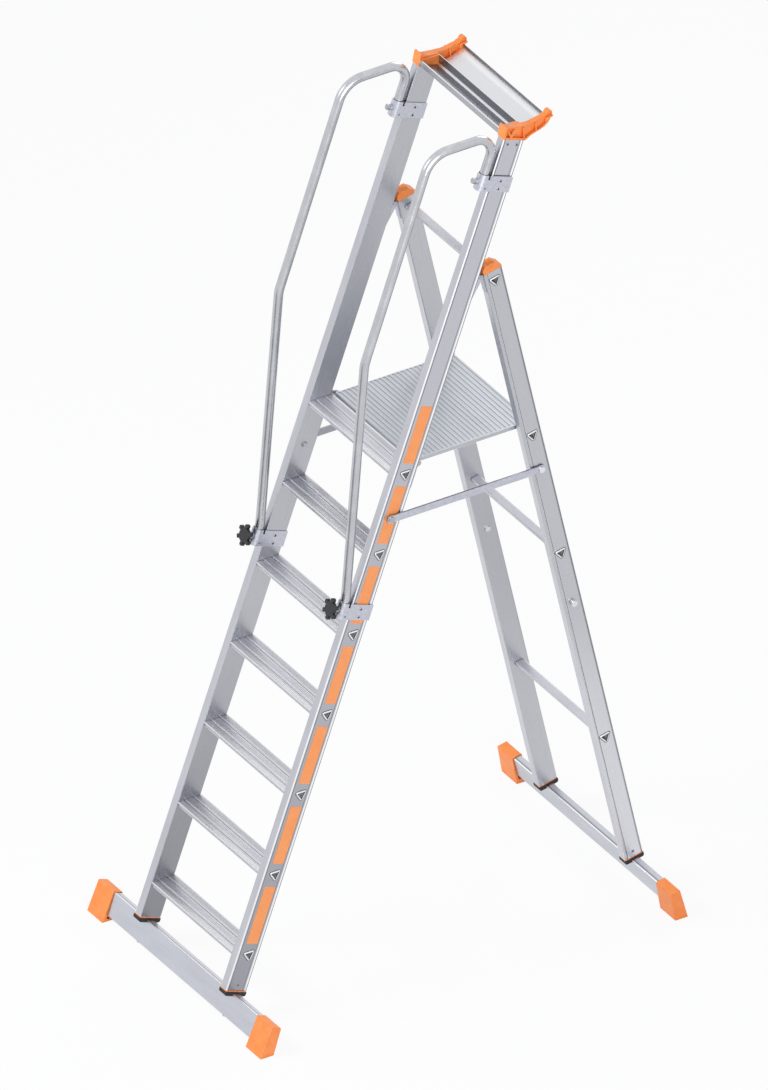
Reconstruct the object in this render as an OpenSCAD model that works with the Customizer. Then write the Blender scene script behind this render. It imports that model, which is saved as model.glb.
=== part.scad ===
// Folding platform steps: climbing frame with treads, fold-up platform, rear support frame,
// bent handrails in clamps, tool tray and wide stabiliser bars. Sizes in millimetres.
// X is across, -Y is the climbing side, Z is up. The origin is on the ground in the middle.

/* [Layout] */
// Width over the end feet
base_w = 911; // [860:1:1000]
// Distance between the stile centres
stile_spacing = 450; // [430:1:480]
// Distance on the ground from the stile's front corner to the leg's front corner
stance = 1305; // [1280:1:1330]
// Slope of the climbing frame in degrees
front_slope = 70; // [69.5:0.1:70.5]
// Slope of the rear frame in degrees
rear_slope = 77.5; // [77:0.1:78]

/* [Stiles] */
// Length of the stile above the fold hinge
stile_over = 429; // [405:1:450]
// Depth of a stile
stile_depth = 70; // [66:0.5:74]
// Thickness of a stile over its edge beads
stile_t = 30; // [28:0.5:32]
// Wall of the stile
stile_wall = 2.2; // [1.8:0.1:3]
// Outer corner radius of the stile
stile_r = 2.5; // [1.5:0.1:3.5]
// Width of the raised bead on the outer face
bead_w = 4.5; // [3:0.1:6]
// Height of the raised bead on the outer face
bead_h = 2.4; // [1.5:0.1:3]

/* [Treads] */
// Distance along the stile from its end to the first tread
tread_first = 108.5; // [100:0.5:120]
// Distance along the stile between treads
tread_pitch = 250; // [245:0.5:255]
// Depth of a tread
tread_depth = 76.5; // [74:0.5:80]
// Thickness of the tread plate
tread_plate = 3; // [2.5:0.1:4]
// Height of the tread's front lip
tread_nose = 12; // [9:0.5:14]
// Height of the tread's rear lip
tread_tail = 8; // [6:0.5:10]
// Side of the triangular tube under treads and rungs
tube_side = 34; // [32:0.5:36]
// Corner radius of the triangular tube
tube_r = 4; // [3:0.1:5]
// Wall of the triangular tube
tube_wall = 2.2; // [1.8:0.1:2.6]
// Distance from the tread's nose to the middle of its tube
tube_set = 38; // [34:0.5:42]
// Height of the flared rim outside the stile
flare_t = 1.2; // [0.8:0.1:1.6]
// Width of the flared rim beyond the tube
flare_w = 1.6; // [1:0.1:2]

/* [Platform] */
// Gap between a stile and the platform's side rail
deck_side_gap = 5.5; // [4:0.1:8]
// Height of the platform over the platform tread
deck_step = 5; // [3:0.5:7]
// Gap between the platform tread and the platform
deck_gap = 7.5; // [5:0.1:9]
// Depth of the platform's section
deck_t = 12; // [10:0.5:14]
// Thickness of the platform's plate
deck_plate = 3; // [2:0.1:4]
// Height of the ribs on the platform
rib_h = 1.2; // [0.8:0.1:1.8]
// Distance between ribs on the platform
rib_pitch = 14.6; // [12:0.1:18]
// Thickness of a platform side rail
rail_t = 4; // [3:0.1:5]
// Diameter of the platform's pivot pins
deck_pin_d = 10; // [8:0.5:10]

/* [Rear frame] */
// Depth of a rear leg
leg_depth = 60; // [56:0.5:64]
// Distance along the leg from its end to the lower rung
lower_rung_z = 434; // [420:1:450]
// Distance along the leg from its end to the middle rung
middle_rung_z = 1105; // [1080:1:1130]
// Distance from the leg's top to the top rung
top_rung_drop = 33; // [32:0.5:45]
// Height of the moulded leg cap
leg_cap_h = 26; // [20:0.5:32]

/* [Base] */
// Height of the front stabiliser bar
front_bar_h = 72; // [66:0.5:78]
// Height of the rear stabiliser bar
rear_bar_h = 58; // [54:0.5:64]
// Thickness of both stabiliser bars
bar_t = 25; // [22:0.5:28]
// Wall of the stabiliser bars
bar_wall = 2; // [1.6:0.1:3]
// Length of an end foot
foot_l = 79; // [70:0.5:90]
// Height of the front foot under its bar, at the middle
front_foot_drop = 17; // [15:0.5:22]
// Height of the rear foot under its bar, at the middle
rear_foot_drop = 34; // [28:0.5:40]
// Width of a foot at its top
foot_top_w = 31; // [30.5:0.1:34]
// Width of a foot at its sole
foot_sole_w = 40; // [37:0.5:44]
// Thickness of the plug's flange under a stile
plug_t = 3; // [2:0.1:4]
// Thickness of the rubber pad over the bar
pad_t = 5; // [4:0.1:7]

/* [Handrails] */
// Diameter of the handrail tube
rail_d = 27; // [25:0.1:28]
// Wall of the handrail tube
rail_wall = 2; // [1.5:0.1:3]
// Distance between the handrail and the stile's front face in the clamps
rail_gap = 4; // [3:0.1:6]
// Slope of the lower handrail stretch in degrees
rail_slope = 85.3; // [84.5:0.1:86]
// Slope of the handrail stretch over the knee in degrees
rail_top_slope = 70.6; // [70:0.1:71.5]
// Height of the knee over the lower bend
knee_rise = 745; // [730:1:760]
// Height of the handrail's top run over the stile's top corner
rail_over = 15.9; // [8:0.1:25]
// Radius of the knee and of the lower bend
knee_r = 90; // [70:1:100]
// Radius of the front bend of the top run
front_bend_r = 78; // [60:1:90]
// Radius of the rear bend of the top run
rear_bend_r = 48; // [44:1:52]

/* [Clamps] */
// Distance along the stile to the lower clamp
lower_clamp_z = 1183; // [1170:1:1195]
// Distance from the stile's top to the upper clamp
upper_clamp_drop = 136; // [125:1:150]
// Height of a clamp
clamp_h = 48; // [42:0.5:52]
// Thickness of the clamp sheet
clamp_t = 2.5; // [2:0.1:3]
// Diameter of the star knob
knob_d = 66; // [62:0.5:68]
// Thickness of the star knob
knob_t = 10; // [9:0.5:12]
// Diameter of the clamp screws
clamp_screw_d = 10; // [8:0.5:10]

/* [Fold hinge] */
// Gap between stile and leg at the hinge
hinge_gap = 18; // [17.5:0.1:20]
// Diameter of the hinge pin
hinge_pin_d = 8; // [6:0.5:8]
// Radius of the hinge knuckle
knuckle_r = 7; // [6:0.1:7.5]

/* [Stays] */
// Distance along the stile to the stay's pivot
stay_z = 1475; // [1465:1:1485]
// Height of the stay bar
stay_h = 22; // [20:0.5:24]
// Thickness of the stay bar
stay_t = 5; // [4:0.1:6]
// Diameter of the pivot bolts and studs
stud_d = 10; // [8:0.5:10]
// Distance below the middle rung of the stud that holds the stay when folded
folded_stud_drop = 180; // [165:1:200]

/* [Tray] */
// Height of the front edge of the tray over the stile's top corner
tray_rise = 20.9; // [18:0.1:23]
// Depth of the tray from front to back
tray_depth = 146; // [140:0.5:149]
// Distance from the front lip to the dividing wall
tray_divide = 60.5; // [55:0.5:64]
// Depth of the compartments at the dividing wall
tray_hollow = 32; // [28:0.5:34]
// Wall of the tray
tray_wall = 2.5; // [2:0.1:3]
// Height of a tray bracket over the stile's top corner
bracket_rise = 36; // [34:0.5:39]
// Length of a tray bracket from front to back
bracket_reach = 156; // [153:0.5:160]
// Radius of the round hook on a tray bracket
hook_r = 9.5; // [8.5:0.1:11]

/* [Hidden] */
// Fits and small sizes that many pieces share
overrun = 1;
fit = 0.2;
pin_fit = 0.06;
side_gap = 0.5;
seat_gap = 0.3;
rivet_d = 5;
rivet_head_d = 9;
rivet_head_t = 1.6;
corner_steps = 4;
tread_count = 6;
round_fn = 48;

// Small sizes of the tread section
ridge_shares = [0.33, 0.712];
ridge_r = 2;
ridge_h = 1.2;
groove_set = 3.8;
groove_w = 4;
groove_h = 1.6;
fine_w = 1;
fine_h = 0.5;
fine_count = 3;
lip_t = 3;
lip_groove_share = 0.55;
lip_groove_w = 2.5;
lip_groove_h = 1;
nose_r = 2.5;
mouth_d = 2.8;
mouth_in = 0.4;

// Small sizes of the rear legs
leg_groove_w = 3;
leg_groove_h = 1.5;
leg_front_groove_in = 8;
leg_rear_groove_in = 3;
leg_head = 2.5;

// Small sizes of plugs, pads, bolts and feet
plug_boss_h = 25;
pad_over = 1;
saddle_h = 8;
saddle_r = 6;
bar_r = 2;
bar_bolt_d = 8;
bar_bolt_head_h = 5.5;
bar_bolt_wide_share = 0.85;
foot_r = 3;
foot_cap = 2.5;
foot_end_wall = 6;
foot_pocket_w = 9;
foot_pocket_depth_share = 0.7;
foot_pocket_h_share = 0.45;
foot_rib = 4;
plug_rivet_z = 18;

// Small sizes of the platform
pivot_in = 10;
pivot_drop = 8.5;
lug_r = 8;
deck_nose_r = 3;
web_w = 3;
web_pitch = 58;
rib_w = 5;
hook_gap = 2;
hook_lip_t = 3;
hook_lip_h = 30;
bracket_t = 5;
bracket_flange_t = 3;
bracket_drop = 66;
bracket_neck = 10;
pin_collar_r = 7.5;
pin_head_t = 3;

// Small sizes of the clamps and knobs
clamp_return = 6;
clamp_notch_in = 11;
clamp_notch_w = 6;
clamp_notch_h = 12;
clamp_hole_d = 6;
clamp_hole_in = 13;
clamp_hole_z_share = 0.31;
boss_r = 9;
boss_l = 7;
bolt_head_l = 8;
bolt_head_r = 9;
rail_tail = 3;
bend_lap = 1.5;
bend_swell = 0.1;
lower_bend_rise = 36;
clamp_rivet_y_share = 0.47;
clamp_rivet_z_shares = [0.21, -0.3];
lobe_count = 6;
lobe_r = 6.5;
knob_core_d = 43;
knob_edge_r = 3.5;
knob_hub_d = 26;
knob_hub_l = 7;
knob_clear = 3;

// Small sizes of the fold hinge
ear_t = 3.5;
knuckle_w = 18;
hinge_ear_drop = 70;
hinge_base_t = 3;
leaf_t = 3;
leaf_drop = 60;
base_clear = 14;
pin_cap_r = 6.5;
pin_cap_t = 2;

// Small sizes of the stays
stay_gap = 0.8;
stay_end_r = 13;
stud_head_r = 9;
stud_head_t = 4;
nut_r = 8.5;
nut_t = 6;
slot_lean = 66;
slot_play = 0.6;

// Small sizes of the tray and its brackets
tray_front_h = 19;
tray_lip_t = 4.5;
tray_rear_over = 3;
tray_end_gap = 2.5;
tray_in = 3.3;
trough_slope = 17;
trough_foot = 6.5;
floor_slope = 15;
cove_r = 12;
cove_steps = 8;
tongue_l = 7;
tongue_front = 2;
tongue_rear = 0;
bracket_over = 1;
neck_in = 3;
neck_h = 4.5;
neck_front = 4;
bracket_web = 17;
bracket_plug_h = 30;
bracket_rivet_drop = 14;
bracket_rivet_y_shares = [0.28, 0.72];
// Outline of the bracket over the stile top: shares of its reach and rise
bracket_top_shares = [
    [0.048, 1], [0.083, 0.986], [0.093, 0.806], [0.2455, 0.703], [0.374, 0.633], [0.547, 0.553],
    [0.649, 0.592], [0.758, 0.703], [0.867, 0.758], [0.919, 0.861]
];
bracket_back_shares = [
    [1, 0.95], [0.971, 0.575], [0.927, 0.292], [0.863, 0.064], [0.759, -0.125],
    [0.649, -0.25], [0.546, -0.408], [0.463, -0.628]
];
hook_shares = [0.985, 0.914];
// Hollows between the bracket's ribs as shares of its reach and rise: three around a V-shaped rib
// in front, and two behind that are open at the top
front_cell_shares = [
    [[0.042, 0.158], [0.135, 0.014], [0.072, 0.68]],
    [[0.095, 0.83], [0.148, 0.236], [0.2115, 0.597], [0.2115, 0.83]],
    [[0.173, -0.05], [0.41, -0.425], [0.41, 0.83], [0.247, 0.83], [0.247, 0.556]]
];
rear_cell_shares = [
    [[0.433, 0.83], [0.433, -0.486], [0.468, -0.458], [0.546, -0.27], [0.667, -0.105], [0.667, 0.83]],
    [[0.686, 0.83], [0.686, -0.08], [0.759, 0], [0.833, 0.15], [0.885, 0.28], [0.885, 0.83]]
];
// Step beside the bracket's top edge, where only the middle web goes on up
step_front_share = 0.093;
step_inner_share = 0.44;
step_shares = [[0.547, 0.386], [0.758, 0.536], [0.865, 0.597], [0.917, 0.694], [1.1, 0.83], [1.1, 2.2]];
step_low_share = 0.64;
step_inner_low_share = 0.447;

// Slopes as sines and cosines
fs = sin(front_slope);
fc = cos(front_slope);
rs = sin(rear_slope);
rc = cos(rear_slope);

// Places of the two frames: each starts at the front corner of its stile or leg end
front_bar_top = -plug_t - pad_t;
front_drop = plug_t + pad_t + front_bar_h + front_foot_drop;
rear_drop = plug_t + pad_t + rear_bar_h + rear_foot_drop;
front_z = stile_depth / 2 * fc + front_drop * fs;
rear_z = rear_drop * rs - leg_depth / 2 * rc;
foot_top = front_bar_top + foot_cap;
front_foot_grow = (foot_sole_w - foot_top_w) / 2 / (foot_top + front_drop);
rear_foot_grow = (foot_sole_w - foot_top_w) / 2 / (foot_top + rear_drop);
toe_y = stile_depth / 2 - foot_top_w / 2;
toe_t = (front_z - toe_y * fc + foot_top * fs) / (fs - front_foot_grow * fc);
heel_y = leg_depth / 2 + foot_top_w / 2;
heel_t = (rear_z + heel_y * rc + foot_top * rs) / (rs - rear_foot_grow * rc);
toe_edge = (toe_y - front_foot_grow * toe_t) * fs + (foot_top - toe_t) * fc;
heel_edge = stance + (heel_y + rear_foot_grow * heel_t) * rs - (foot_top - heel_t) * rc;
front_y = -(toe_edge + heel_edge) / 2;
rear_y = front_y + stance;

// Points given in a frame's own depth and length, as [Y, Z] on the part, and back
function front_at(y, z) = [front_y + y * fs + z * fc, front_z - y * fc + z * fs];
function rear_at(y, z) = [rear_y + y * rs - z * rc, rear_z + y * rc + z * rs];
function in_front_of(p) = [(p[0] - front_y) * fs - (p[1] - front_z) * fc, (p[0] - front_y) * fc + (p[1] - front_z) * fs];
function in_rear_of(p) = [(p[0] - rear_y) * rs + (p[1] - rear_z) * rc, (p[1] - rear_z) * rs - (p[0] - rear_y) * rc];

// Stile faces across the part
side_x = stile_spacing / 2;
inner_x = side_x - stile_t / 2;
outer_x = side_x + stile_t / 2;
web_x = outer_x - bead_h;

// Fold pivot in the middle of the gap between stile and leg
hinge_z = (stance - stile_depth / fs + rear_z * rc / rs + front_z * fc / fs - hinge_gap) / (fc / fs + rc / rs);
hinge_y = rear_y - (hinge_z - rear_z) * rc / rs - hinge_gap / 2;
hinge_front = in_front_of([hinge_y, hinge_z]);
hinge_rear = in_rear_of([hinge_y, hinge_z]);
leg_len = hinge_rear[1] + leg_head;
stile_len = hinge_front[1] + stile_over;
upper_clamp_z = stile_len - upper_clamp_drop;
folded_stud_z = middle_rung_z - folded_stud_drop;
stile_top = front_at(0, stile_len);
stile_top_back = front_at(stile_depth, stile_len);

// Triangular tube: its height and the middle's distance from the flat top
tube_h = tube_side * sqrt(3) / 2;
tube_up = tube_h / 3;
tube_drop = tube_up + tread_plate - tube_wall;
bore_side = tube_side - 2 * sqrt(3) * tube_wall;
flare_side = tube_side + 2 * sqrt(3) * flare_w;

// Platform places
top_tread = tread_first + tread_count * tread_pitch;
top_nose = front_at(0, top_tread);
deck_front = top_nose[0] + tread_depth + deck_gap;
deck_top = top_nose[1] + deck_step;
pivot = [deck_front + pivot_in, deck_top - pivot_drop];
pivot_front = in_front_of(pivot);
rung_corner = [tube_side / 2 - sqrt(3) * tube_r, tube_up - tube_r];
rung_rise = rung_corner[0] * rc + rung_corner[1] * rs + tube_r;
rung_reach = rung_corner[0] * rs - rung_corner[1] * rc + tube_r;
platform_rung_z = (deck_top - deck_t - seat_gap - rung_rise - rear_z - leg_depth / 2 * rc) / rs;
platform_rung = rear_at(leg_depth / 2, platform_rung_z);
deck_rear = platform_rung[0] + rung_reach + hook_gap + hook_lip_t;
deck_depth = deck_rear - deck_front;
deck_half = inner_x - deck_side_gap - rail_t;

// Handrail points on the part, from the lower clamp over the top to the upper clamp
rail_off = rail_d / 2 + rail_gap;
rail_start = front_at(-rail_off, lower_clamp_z - clamp_h / 2 - rail_tail);
rail_low = front_at(-rail_off, lower_clamp_z + lower_bend_rise);
rail_knee = rail_low + [knee_rise * cos(rail_slope) / sin(rail_slope), knee_rise];
top_rise = stile_top[1] + rail_over - rail_knee[1];
rail_top = rail_knee + [top_rise * cos(rail_top_slope) / sin(rail_top_slope), top_rise];
rail_back_z = (rail_top[1] - front_z - rail_off * fc) / fs;
rail_back = front_at(-rail_off, rail_back_z);
rail_end = front_at(-rail_off, upper_clamp_z - clamp_h / 2 - rail_tail);

// Stay places
stay_front = front_at(stile_depth / 2, stay_z);
stay_rear_z = (stay_front[1] - rear_z - leg_depth / 2 * rc) / rs;
stay_rear = rear_at(leg_depth / 2, stay_rear_z);
stay_len = stay_rear[0] - stay_front[0];
stay_x = outer_x + flare_t + stay_gap;

// Half the length of the tray between its brackets
tray_half = inner_x - tray_end_gap;

// Outline helpers
function unit(v) = v / norm(v);
function bearing(v) = atan2(v[1], v[0]);
function short_turn(a) = a > 180 ? a - 360 : a < -180 ? a + 360 : a;
function corner(p, c, q, r, steps) =
    let (
        u = unit(p - c),
        v = unit(q - c),
        half = acos(u * v) / 2,
        o = c + unit(u + v) * r / sin(half),
        a = bearing(c + u * r / tan(half) - o),
        turn = short_turn(bearing(c + v * r / tan(half) - o) - a)
    )
    [for (i = [0:steps]) o + r * [cos(a + turn * i / steps), sin(a + turn * i / steps)]];
function rounded(points, radii, steps = corner_steps) = [
    for (i = [0:len(points) - 1])
        let (n = len(points), r = is_list(radii) ? radii[i] : radii)
        each (r > 0 ? corner(points[(i + n - 1) % n], points[i], points[(i + 1) % n], r, steps) : [points[i]])
];
function box_points(low, high) = [low, [high[0], low[1]], high, [low[0], high[1]]];
function triangle(side) =
    let (up = side * sqrt(3) / 6)
    [[side / 2, up], [-side / 2, up], [0, -2 * up]];

// Placing helpers
module in_front() {
    translate([0, front_y, front_z]) rotate([front_slope - 90, 0, 0]) children();
}
module in_rear() {
    translate([0, rear_y, rear_z]) rotate([90 - rear_slope, 0, 0]) children();
}
module left_side() {
    mirror([1, 0, 0]) children();
}
module both_sides() {
    children();
    mirror([1, 0, 0]) children();
}
// Extrudes a depth and height outline across the part, between two X places
module across(x0, x1) {
    translate([x0, 0, 0]) rotate([90, 0, 90]) linear_extrude(height = x1 - x0) children();
}
// Round bar across the part at a depth and height
module rod(x0, x1, at, r) {
    translate([x0, at[0], at[1]]) rotate([0, 90, 0]) cylinder(h = x1 - x0, r = r, $fn = round_fn);
}
// Round bar along the depth direction of a frame, pointing to the front
module front_rod(y0, y1, x, z, r) {
    translate([x, y1, z]) rotate([90, 0, 0]) cylinder(h = y1 - y0, r = r, $fn = round_fn);
}
// Hexagonal bar across the part
module hex_rod(x0, x1, at, r) {
    translate([x0, at[0], at[1]]) rotate([0, 90, 0]) cylinder(h = x1 - x0, r = r, $fn = 6);
}
// Blind rivet on a face across the part: a flat dome outside and a shank inwards
module rivet(x, at, shank) {
    rod(x, x + rivet_head_t, at, rivet_head_d / 2);
    rod(x - shank, x + rivet_head_t / 2, at, rivet_d / 2 - fit);
}

// Stiles
module stile_section() {
    half = stile_t / 2;
    polygon(rounded(
        [
            [-half, 0], [half, 0], [half, bead_w], [half - bead_h, bead_w + bead_h],
            [half - bead_h, stile_depth - bead_w - bead_h], [half, stile_depth - bead_w],
            [half, stile_depth], [-half, stile_depth]
        ],
        [stile_r, stile_r, 0, 0, 0, 0, stile_r, stile_r]));
}
module stile_bore(play) {
    half = stile_t / 2 - stile_wall - play;
    polygon(box_points(
        [-half, stile_wall + play],
        [half - bead_h, stile_depth - stile_wall - play]));
}
function tread_at(i) = front_at(0, tread_first + i * tread_pitch);
module tube_outline(side, r) {
    polygon(rounded(triangle(side), r));
}
module tread_tube_place(i) {
    translate([tread_at(i)[0] + tube_set, tread_at(i)[1] - tube_drop]) children();
}
module stile() {
    color("silver")
    difference() {
        in_front() translate([side_x, 0, 0]) linear_extrude(height = stile_len)
            difference() {
                stile_section();
                stile_bore(0);
            }
        for (i = [0:tread_count])
            across(inner_x - overrun, outer_x + overrun) tread_tube_place(i) tube_outline(tube_side, tube_r);
        rod(inner_x - overrun, outer_x + overrun, stay_front, stud_d / 2 + fit);
        in_front() stile_rivet_holes();
    }
}
module stile_rivet_holes() {
    for (at = stile_rivets)
        rod(side_x, outer_x + overrun, at, rivet_d / 2);
}
stile_rivets = [
    [stile_depth / 2, plug_rivet_z],
    for (share = bracket_rivet_y_shares) [stile_depth * share, stile_len - bracket_rivet_drop]
];
module front_stile_right() { stile(); }
module front_stile_left() { left_side() stile(); }

// Treads: a plate with two lips, raised ridges with a groove before each, and fine lines between
ridge_places = [for (share = ridge_shares) tread_depth * share];
band_starts = concat([0], [for (y = ridge_places) y + ridge_r]);
band_ends = concat([for (y = ridge_places) y - groove_set - groove_w], [tread_depth]);
module tread_plate_outline() {
    difference() {
        union() {
            polygon(rounded(
                [
                    [0, -tread_nose], [lip_t, -tread_nose], [lip_t, -tread_plate],
                    [tread_depth - lip_t, -tread_plate], [tread_depth - lip_t, -tread_tail],
                    [tread_depth, -tread_tail], [tread_depth, 0], [0, 0]
                ],
                [0, 0, 0, 0, 0, 0, 0, nose_r]));
            for (y = ridge_places)
                translate([y, ridge_h - ridge_r]) circle(r = ridge_r, $fn = round_fn);
        }
        translate([-overrun, -tread_nose * lip_groove_share - lip_groove_w / 2])
            square([lip_groove_h + overrun, lip_groove_w]);
        for (y = ridge_places)
            translate([y - groove_set - groove_w, -groove_h]) square([groove_w, groove_h + overrun]);
        for (band = [0:len(band_starts) - 1])
            for (line = [1:fine_count])
                translate([
                    band_starts[band] + (band_ends[band] - band_starts[band]) * line / (fine_count + 1) - fine_w / 2,
                    -fine_h
                ])
                    square([fine_w, fine_h + overrun]);
    }
}
// Funnel in a tube's end: three slanted faces, and a cone that keeps its corners round
module tube_mouth(x) {
    up = tube_up - tube_wall;
    reach = 2 * tube_side;
    corner_r = 2 * up - (tube_r - tube_wall) - mouth_in;
    depth = mouth_d + overrun;
    intersection() {
        intersection_for (turn = [0, 120, 240])
            rotate([turn, 0, 0]) translate([0, reach, 0]) rotate([90, 0, 0]) linear_extrude(height = 2 * reach)
                polygon([
                    [x - mouth_d, up], [x + overrun, up + depth],
                    [x + overrun, -reach], [x - mouth_d, -reach]
                ]);
        translate([x - mouth_d, 0, 0]) rotate([0, 90, 0])
            cylinder(h = depth, r1 = corner_r, r2 = corner_r + depth, $fn = round_fn);
    }
}
// Triangular tube across the part with its flared rims
module flared_tube(x_end) {
    face_x = x_end + flare_t;
    difference() {
        union() {
            across(-face_x, face_x) difference() {
                tube_outline(tube_side, tube_r);
                tube_outline(bore_side, tube_r - tube_wall);
            }
            for (x = [-face_x, x_end])
                across(x, x + flare_t) difference() {
                    tube_outline(flare_side, tube_r + flare_w);
                    tube_outline(tube_side, tube_r);
                }
        }
        both_sides() tube_mouth(face_x);
    }
}
module tread(i) {
    color("gainsboro") {
        translate([0, tread_at(i)[0], tread_at(i)[1]])
            difference() {
                across(-inner_x, inner_x) tread_plate_outline();
                across(-inner_x - overrun, inner_x + overrun)
                    translate([tube_set, -tube_drop]) tube_outline(bore_side, tube_r - tube_wall);
            }
        translate([0, tread_at(i)[0] + tube_set, tread_at(i)[1] - tube_drop]) flared_tube(web_x);
    }
}
module tread_1() { tread(0); }
module tread_2() { tread(1); }
module tread_3() { tread(2); }
module tread_4() { tread(3); }
module tread_5() { tread(4); }
module tread_6() { tread(5); }
module platform_tread() { tread(tread_count); }

// Stabiliser bars, with their middle at a depth and their top at a height
module crossbar(mid_y, height) {
    bar_half = base_w / 2 - foot_end_wall;
    low = [mid_y - bar_t / 2, front_bar_top - height];
    high = [mid_y + bar_t / 2, front_bar_top];
    wall = [bar_wall, bar_wall];
    color("silver")
    difference() {
        across(-bar_half, bar_half) difference() {
            polygon(rounded(box_points(low, high), bar_r));
            polygon(box_points(low + wall, high - wall));
        }
        both_sides() translate([side_x, mid_y, front_bar_top - height - overrun])
            cylinder(h = height + 2 * overrun, r = bar_bolt_d / 2 + fit, $fn = round_fn);
    }
}
module front_crossbar() { in_front() crossbar(stile_depth / 2, front_bar_h); }
module rear_crossbar() { in_rear() crossbar(leg_depth / 2, rear_bar_h); }

// End feet: a tapered block over the bar's end, with open pockets under the bar
module foot_block(mid_y, height, drop) {
    x0 = base_w / 2 - foot_l;
    x1 = base_w / 2;
    low = front_bar_top - height - 2 * drop;
    grow = (foot_sole_w - foot_top_w) / 2 / (foot_top - front_bar_top + height + drop) * (foot_top - low);
    top_half = foot_top_w / 2;
    wide = foot_sole_w + 2 * grow;
    difference() {
        intersection() {
            across(x0, x1) translate([mid_y, 0]) polygon(rounded(
                [[-top_half - grow, low], [top_half + grow, low], [top_half, foot_top], [-top_half, foot_top]],
                [0, 0, foot_r, foot_r]));
            translate([0, mid_y + wide / 2, 0]) rotate([90, 0, 0]) linear_extrude(height = wide)
                polygon(rounded(
                    [[x0, low], [x1, low], [x1, foot_top], [x0, foot_top]],
                    [0, 0, foot_r, 0]));
        }
        across(x0 - overrun, x1 - foot_end_wall) polygon(box_points(
            [mid_y - bar_t / 2, front_bar_top - height],
            [mid_y + bar_t / 2, front_bar_top]));
        for (y = [mid_y - foot_rib / 2 - foot_pocket_w, mid_y + foot_rib / 2])
            across(x0 - overrun, x0 + foot_l * foot_pocket_depth_share) polygon(box_points(
                [y, front_bar_top - height - foot_rib - drop * foot_pocket_h_share],
                [y + foot_pocket_w, front_bar_top - height - foot_rib]));
    }
}
// Cuts a foot off flat at the ground
module on_ground() {
    difference() {
        children();
        translate([-base_w, -base_w - stance, -base_w]) cube([2 * base_w, 2 * (base_w + stance), base_w]);
    }
}
module front_foot_right() {
    color("darkorange") on_ground() in_front() foot_block(stile_depth / 2, front_bar_h, front_foot_drop);
}
module front_foot_left() { left_side() front_foot_right(); }
module rear_foot_right() {
    color("darkorange") on_ground() in_rear() foot_block(leg_depth / 2, rear_bar_h, rear_foot_drop);
}
module rear_foot_left() { left_side() rear_foot_right(); }

// Plugs in the lower ends, rubber saddles over the bars and the bolts that hold them
module plug(depth) {
    color("darkorange")
    difference() {
        union() {
            translate([side_x, 0, -plug_t]) linear_extrude(height = plug_t) polygon(rounded(
                box_points([-stile_t / 2, 0], [stile_t / 2, depth]), stile_r));
            translate([side_x, 0, 0]) linear_extrude(height = plug_boss_h) children();
        }
        translate([side_x, depth / 2, -plug_t - overrun])
            cylinder(h = plug_t + plug_boss_h + 2 * overrun, r = bar_bolt_d / 2 + fit, $fn = round_fn);
        rod(side_x, outer_x, [depth / 2, plug_rivet_z], rivet_d / 2);
    }
}
module pad(depth) {
    half = depth / 2 + pad_over;
    color("dimgray")
    difference() {
        across(inner_x - pad_over, outer_x + pad_over) difference() {
            polygon(rounded(
                [
                    [depth / 2 - half, front_bar_top - saddle_h], [depth / 2 + half, front_bar_top - saddle_h],
                    [depth / 2 + half, -plug_t], [depth / 2 - half, -plug_t]
                ],
                [saddle_r, saddle_r, 0, 0]));
            polygon(box_points(
                [depth / 2 - bar_t / 2, front_bar_top - saddle_h - overrun],
                [depth / 2 + bar_t / 2, front_bar_top]));
        }
        translate([side_x, depth / 2, front_bar_top - overrun])
            cylinder(h = pad_t + 2 * overrun, r = bar_bolt_d / 2 + fit, $fn = round_fn);
    }
}
module bar_bolt(depth, height) {
    head_z = front_bar_top - height - bar_bolt_head_h;
    color("lightgray")
    translate([side_x, depth / 2, head_z]) {
        cylinder(h = bar_bolt_head_h, r = bar_bolt_d * bar_bolt_wide_share, $fn = 6);
        cylinder(h = bar_bolt_head_h + height + pad_t + plug_t + plug_boss_h, r = bar_bolt_d / 2, $fn = round_fn);
    }
}
module front_plugs() { both_sides() in_front() plug(stile_depth) stile_bore(fit); }
module rear_plugs() { both_sides() in_rear() plug(leg_depth) leg_bore(fit); }
module front_pads() { both_sides() in_front() pad(stile_depth); }
module rear_pads() { both_sides() in_rear() pad(leg_depth); }
module front_bar_bolts() { both_sides() in_front() bar_bolt(stile_depth, front_bar_h); }
module rear_bar_bolts() { both_sides() in_rear() bar_bolt(leg_depth, rear_bar_h); }

// Rear legs
module leg_section() {
    half = stile_t / 2;
    difference() {
        polygon(rounded(box_points([-half, 0], [half, leg_depth]), stile_r));
        for (y = [leg_front_groove_in, leg_depth - leg_rear_groove_in - leg_groove_w])
            translate([half - leg_groove_h, y]) square([leg_groove_h + overrun, leg_groove_w]);
    }
}
module leg_bore(play) {
    half = stile_t / 2 - stile_wall - play;
    polygon(box_points([-half, stile_wall + play], [half - leg_groove_h, leg_depth - stile_wall - play]));
}
rung_places = [lower_rung_z, middle_rung_z, platform_rung_z, leg_len - top_rung_drop];
stud_places = [stay_rear_z, folded_stud_z];
module rear_leg() {
    color("silver")
    in_rear() difference() {
        translate([side_x, 0, 0]) linear_extrude(height = leg_len)
            difference() {
                leg_section();
                leg_bore(0);
            }
        for (z = rung_places)
            across(inner_x - overrun, outer_x + overrun)
                translate([leg_depth / 2, z]) tube_outline(tube_side, tube_r);
        for (z = stud_places)
            rod(inner_x - overrun, outer_x + overrun, [leg_depth / 2, z], stud_d / 2 + fit);
        rod(side_x, outer_x + overrun, [leg_depth / 2, plug_rivet_z], rivet_d / 2);
    }
}
module rear_leg_right() { rear_leg(); }
module rear_leg_left() { left_side() rear_leg(); }
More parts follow.
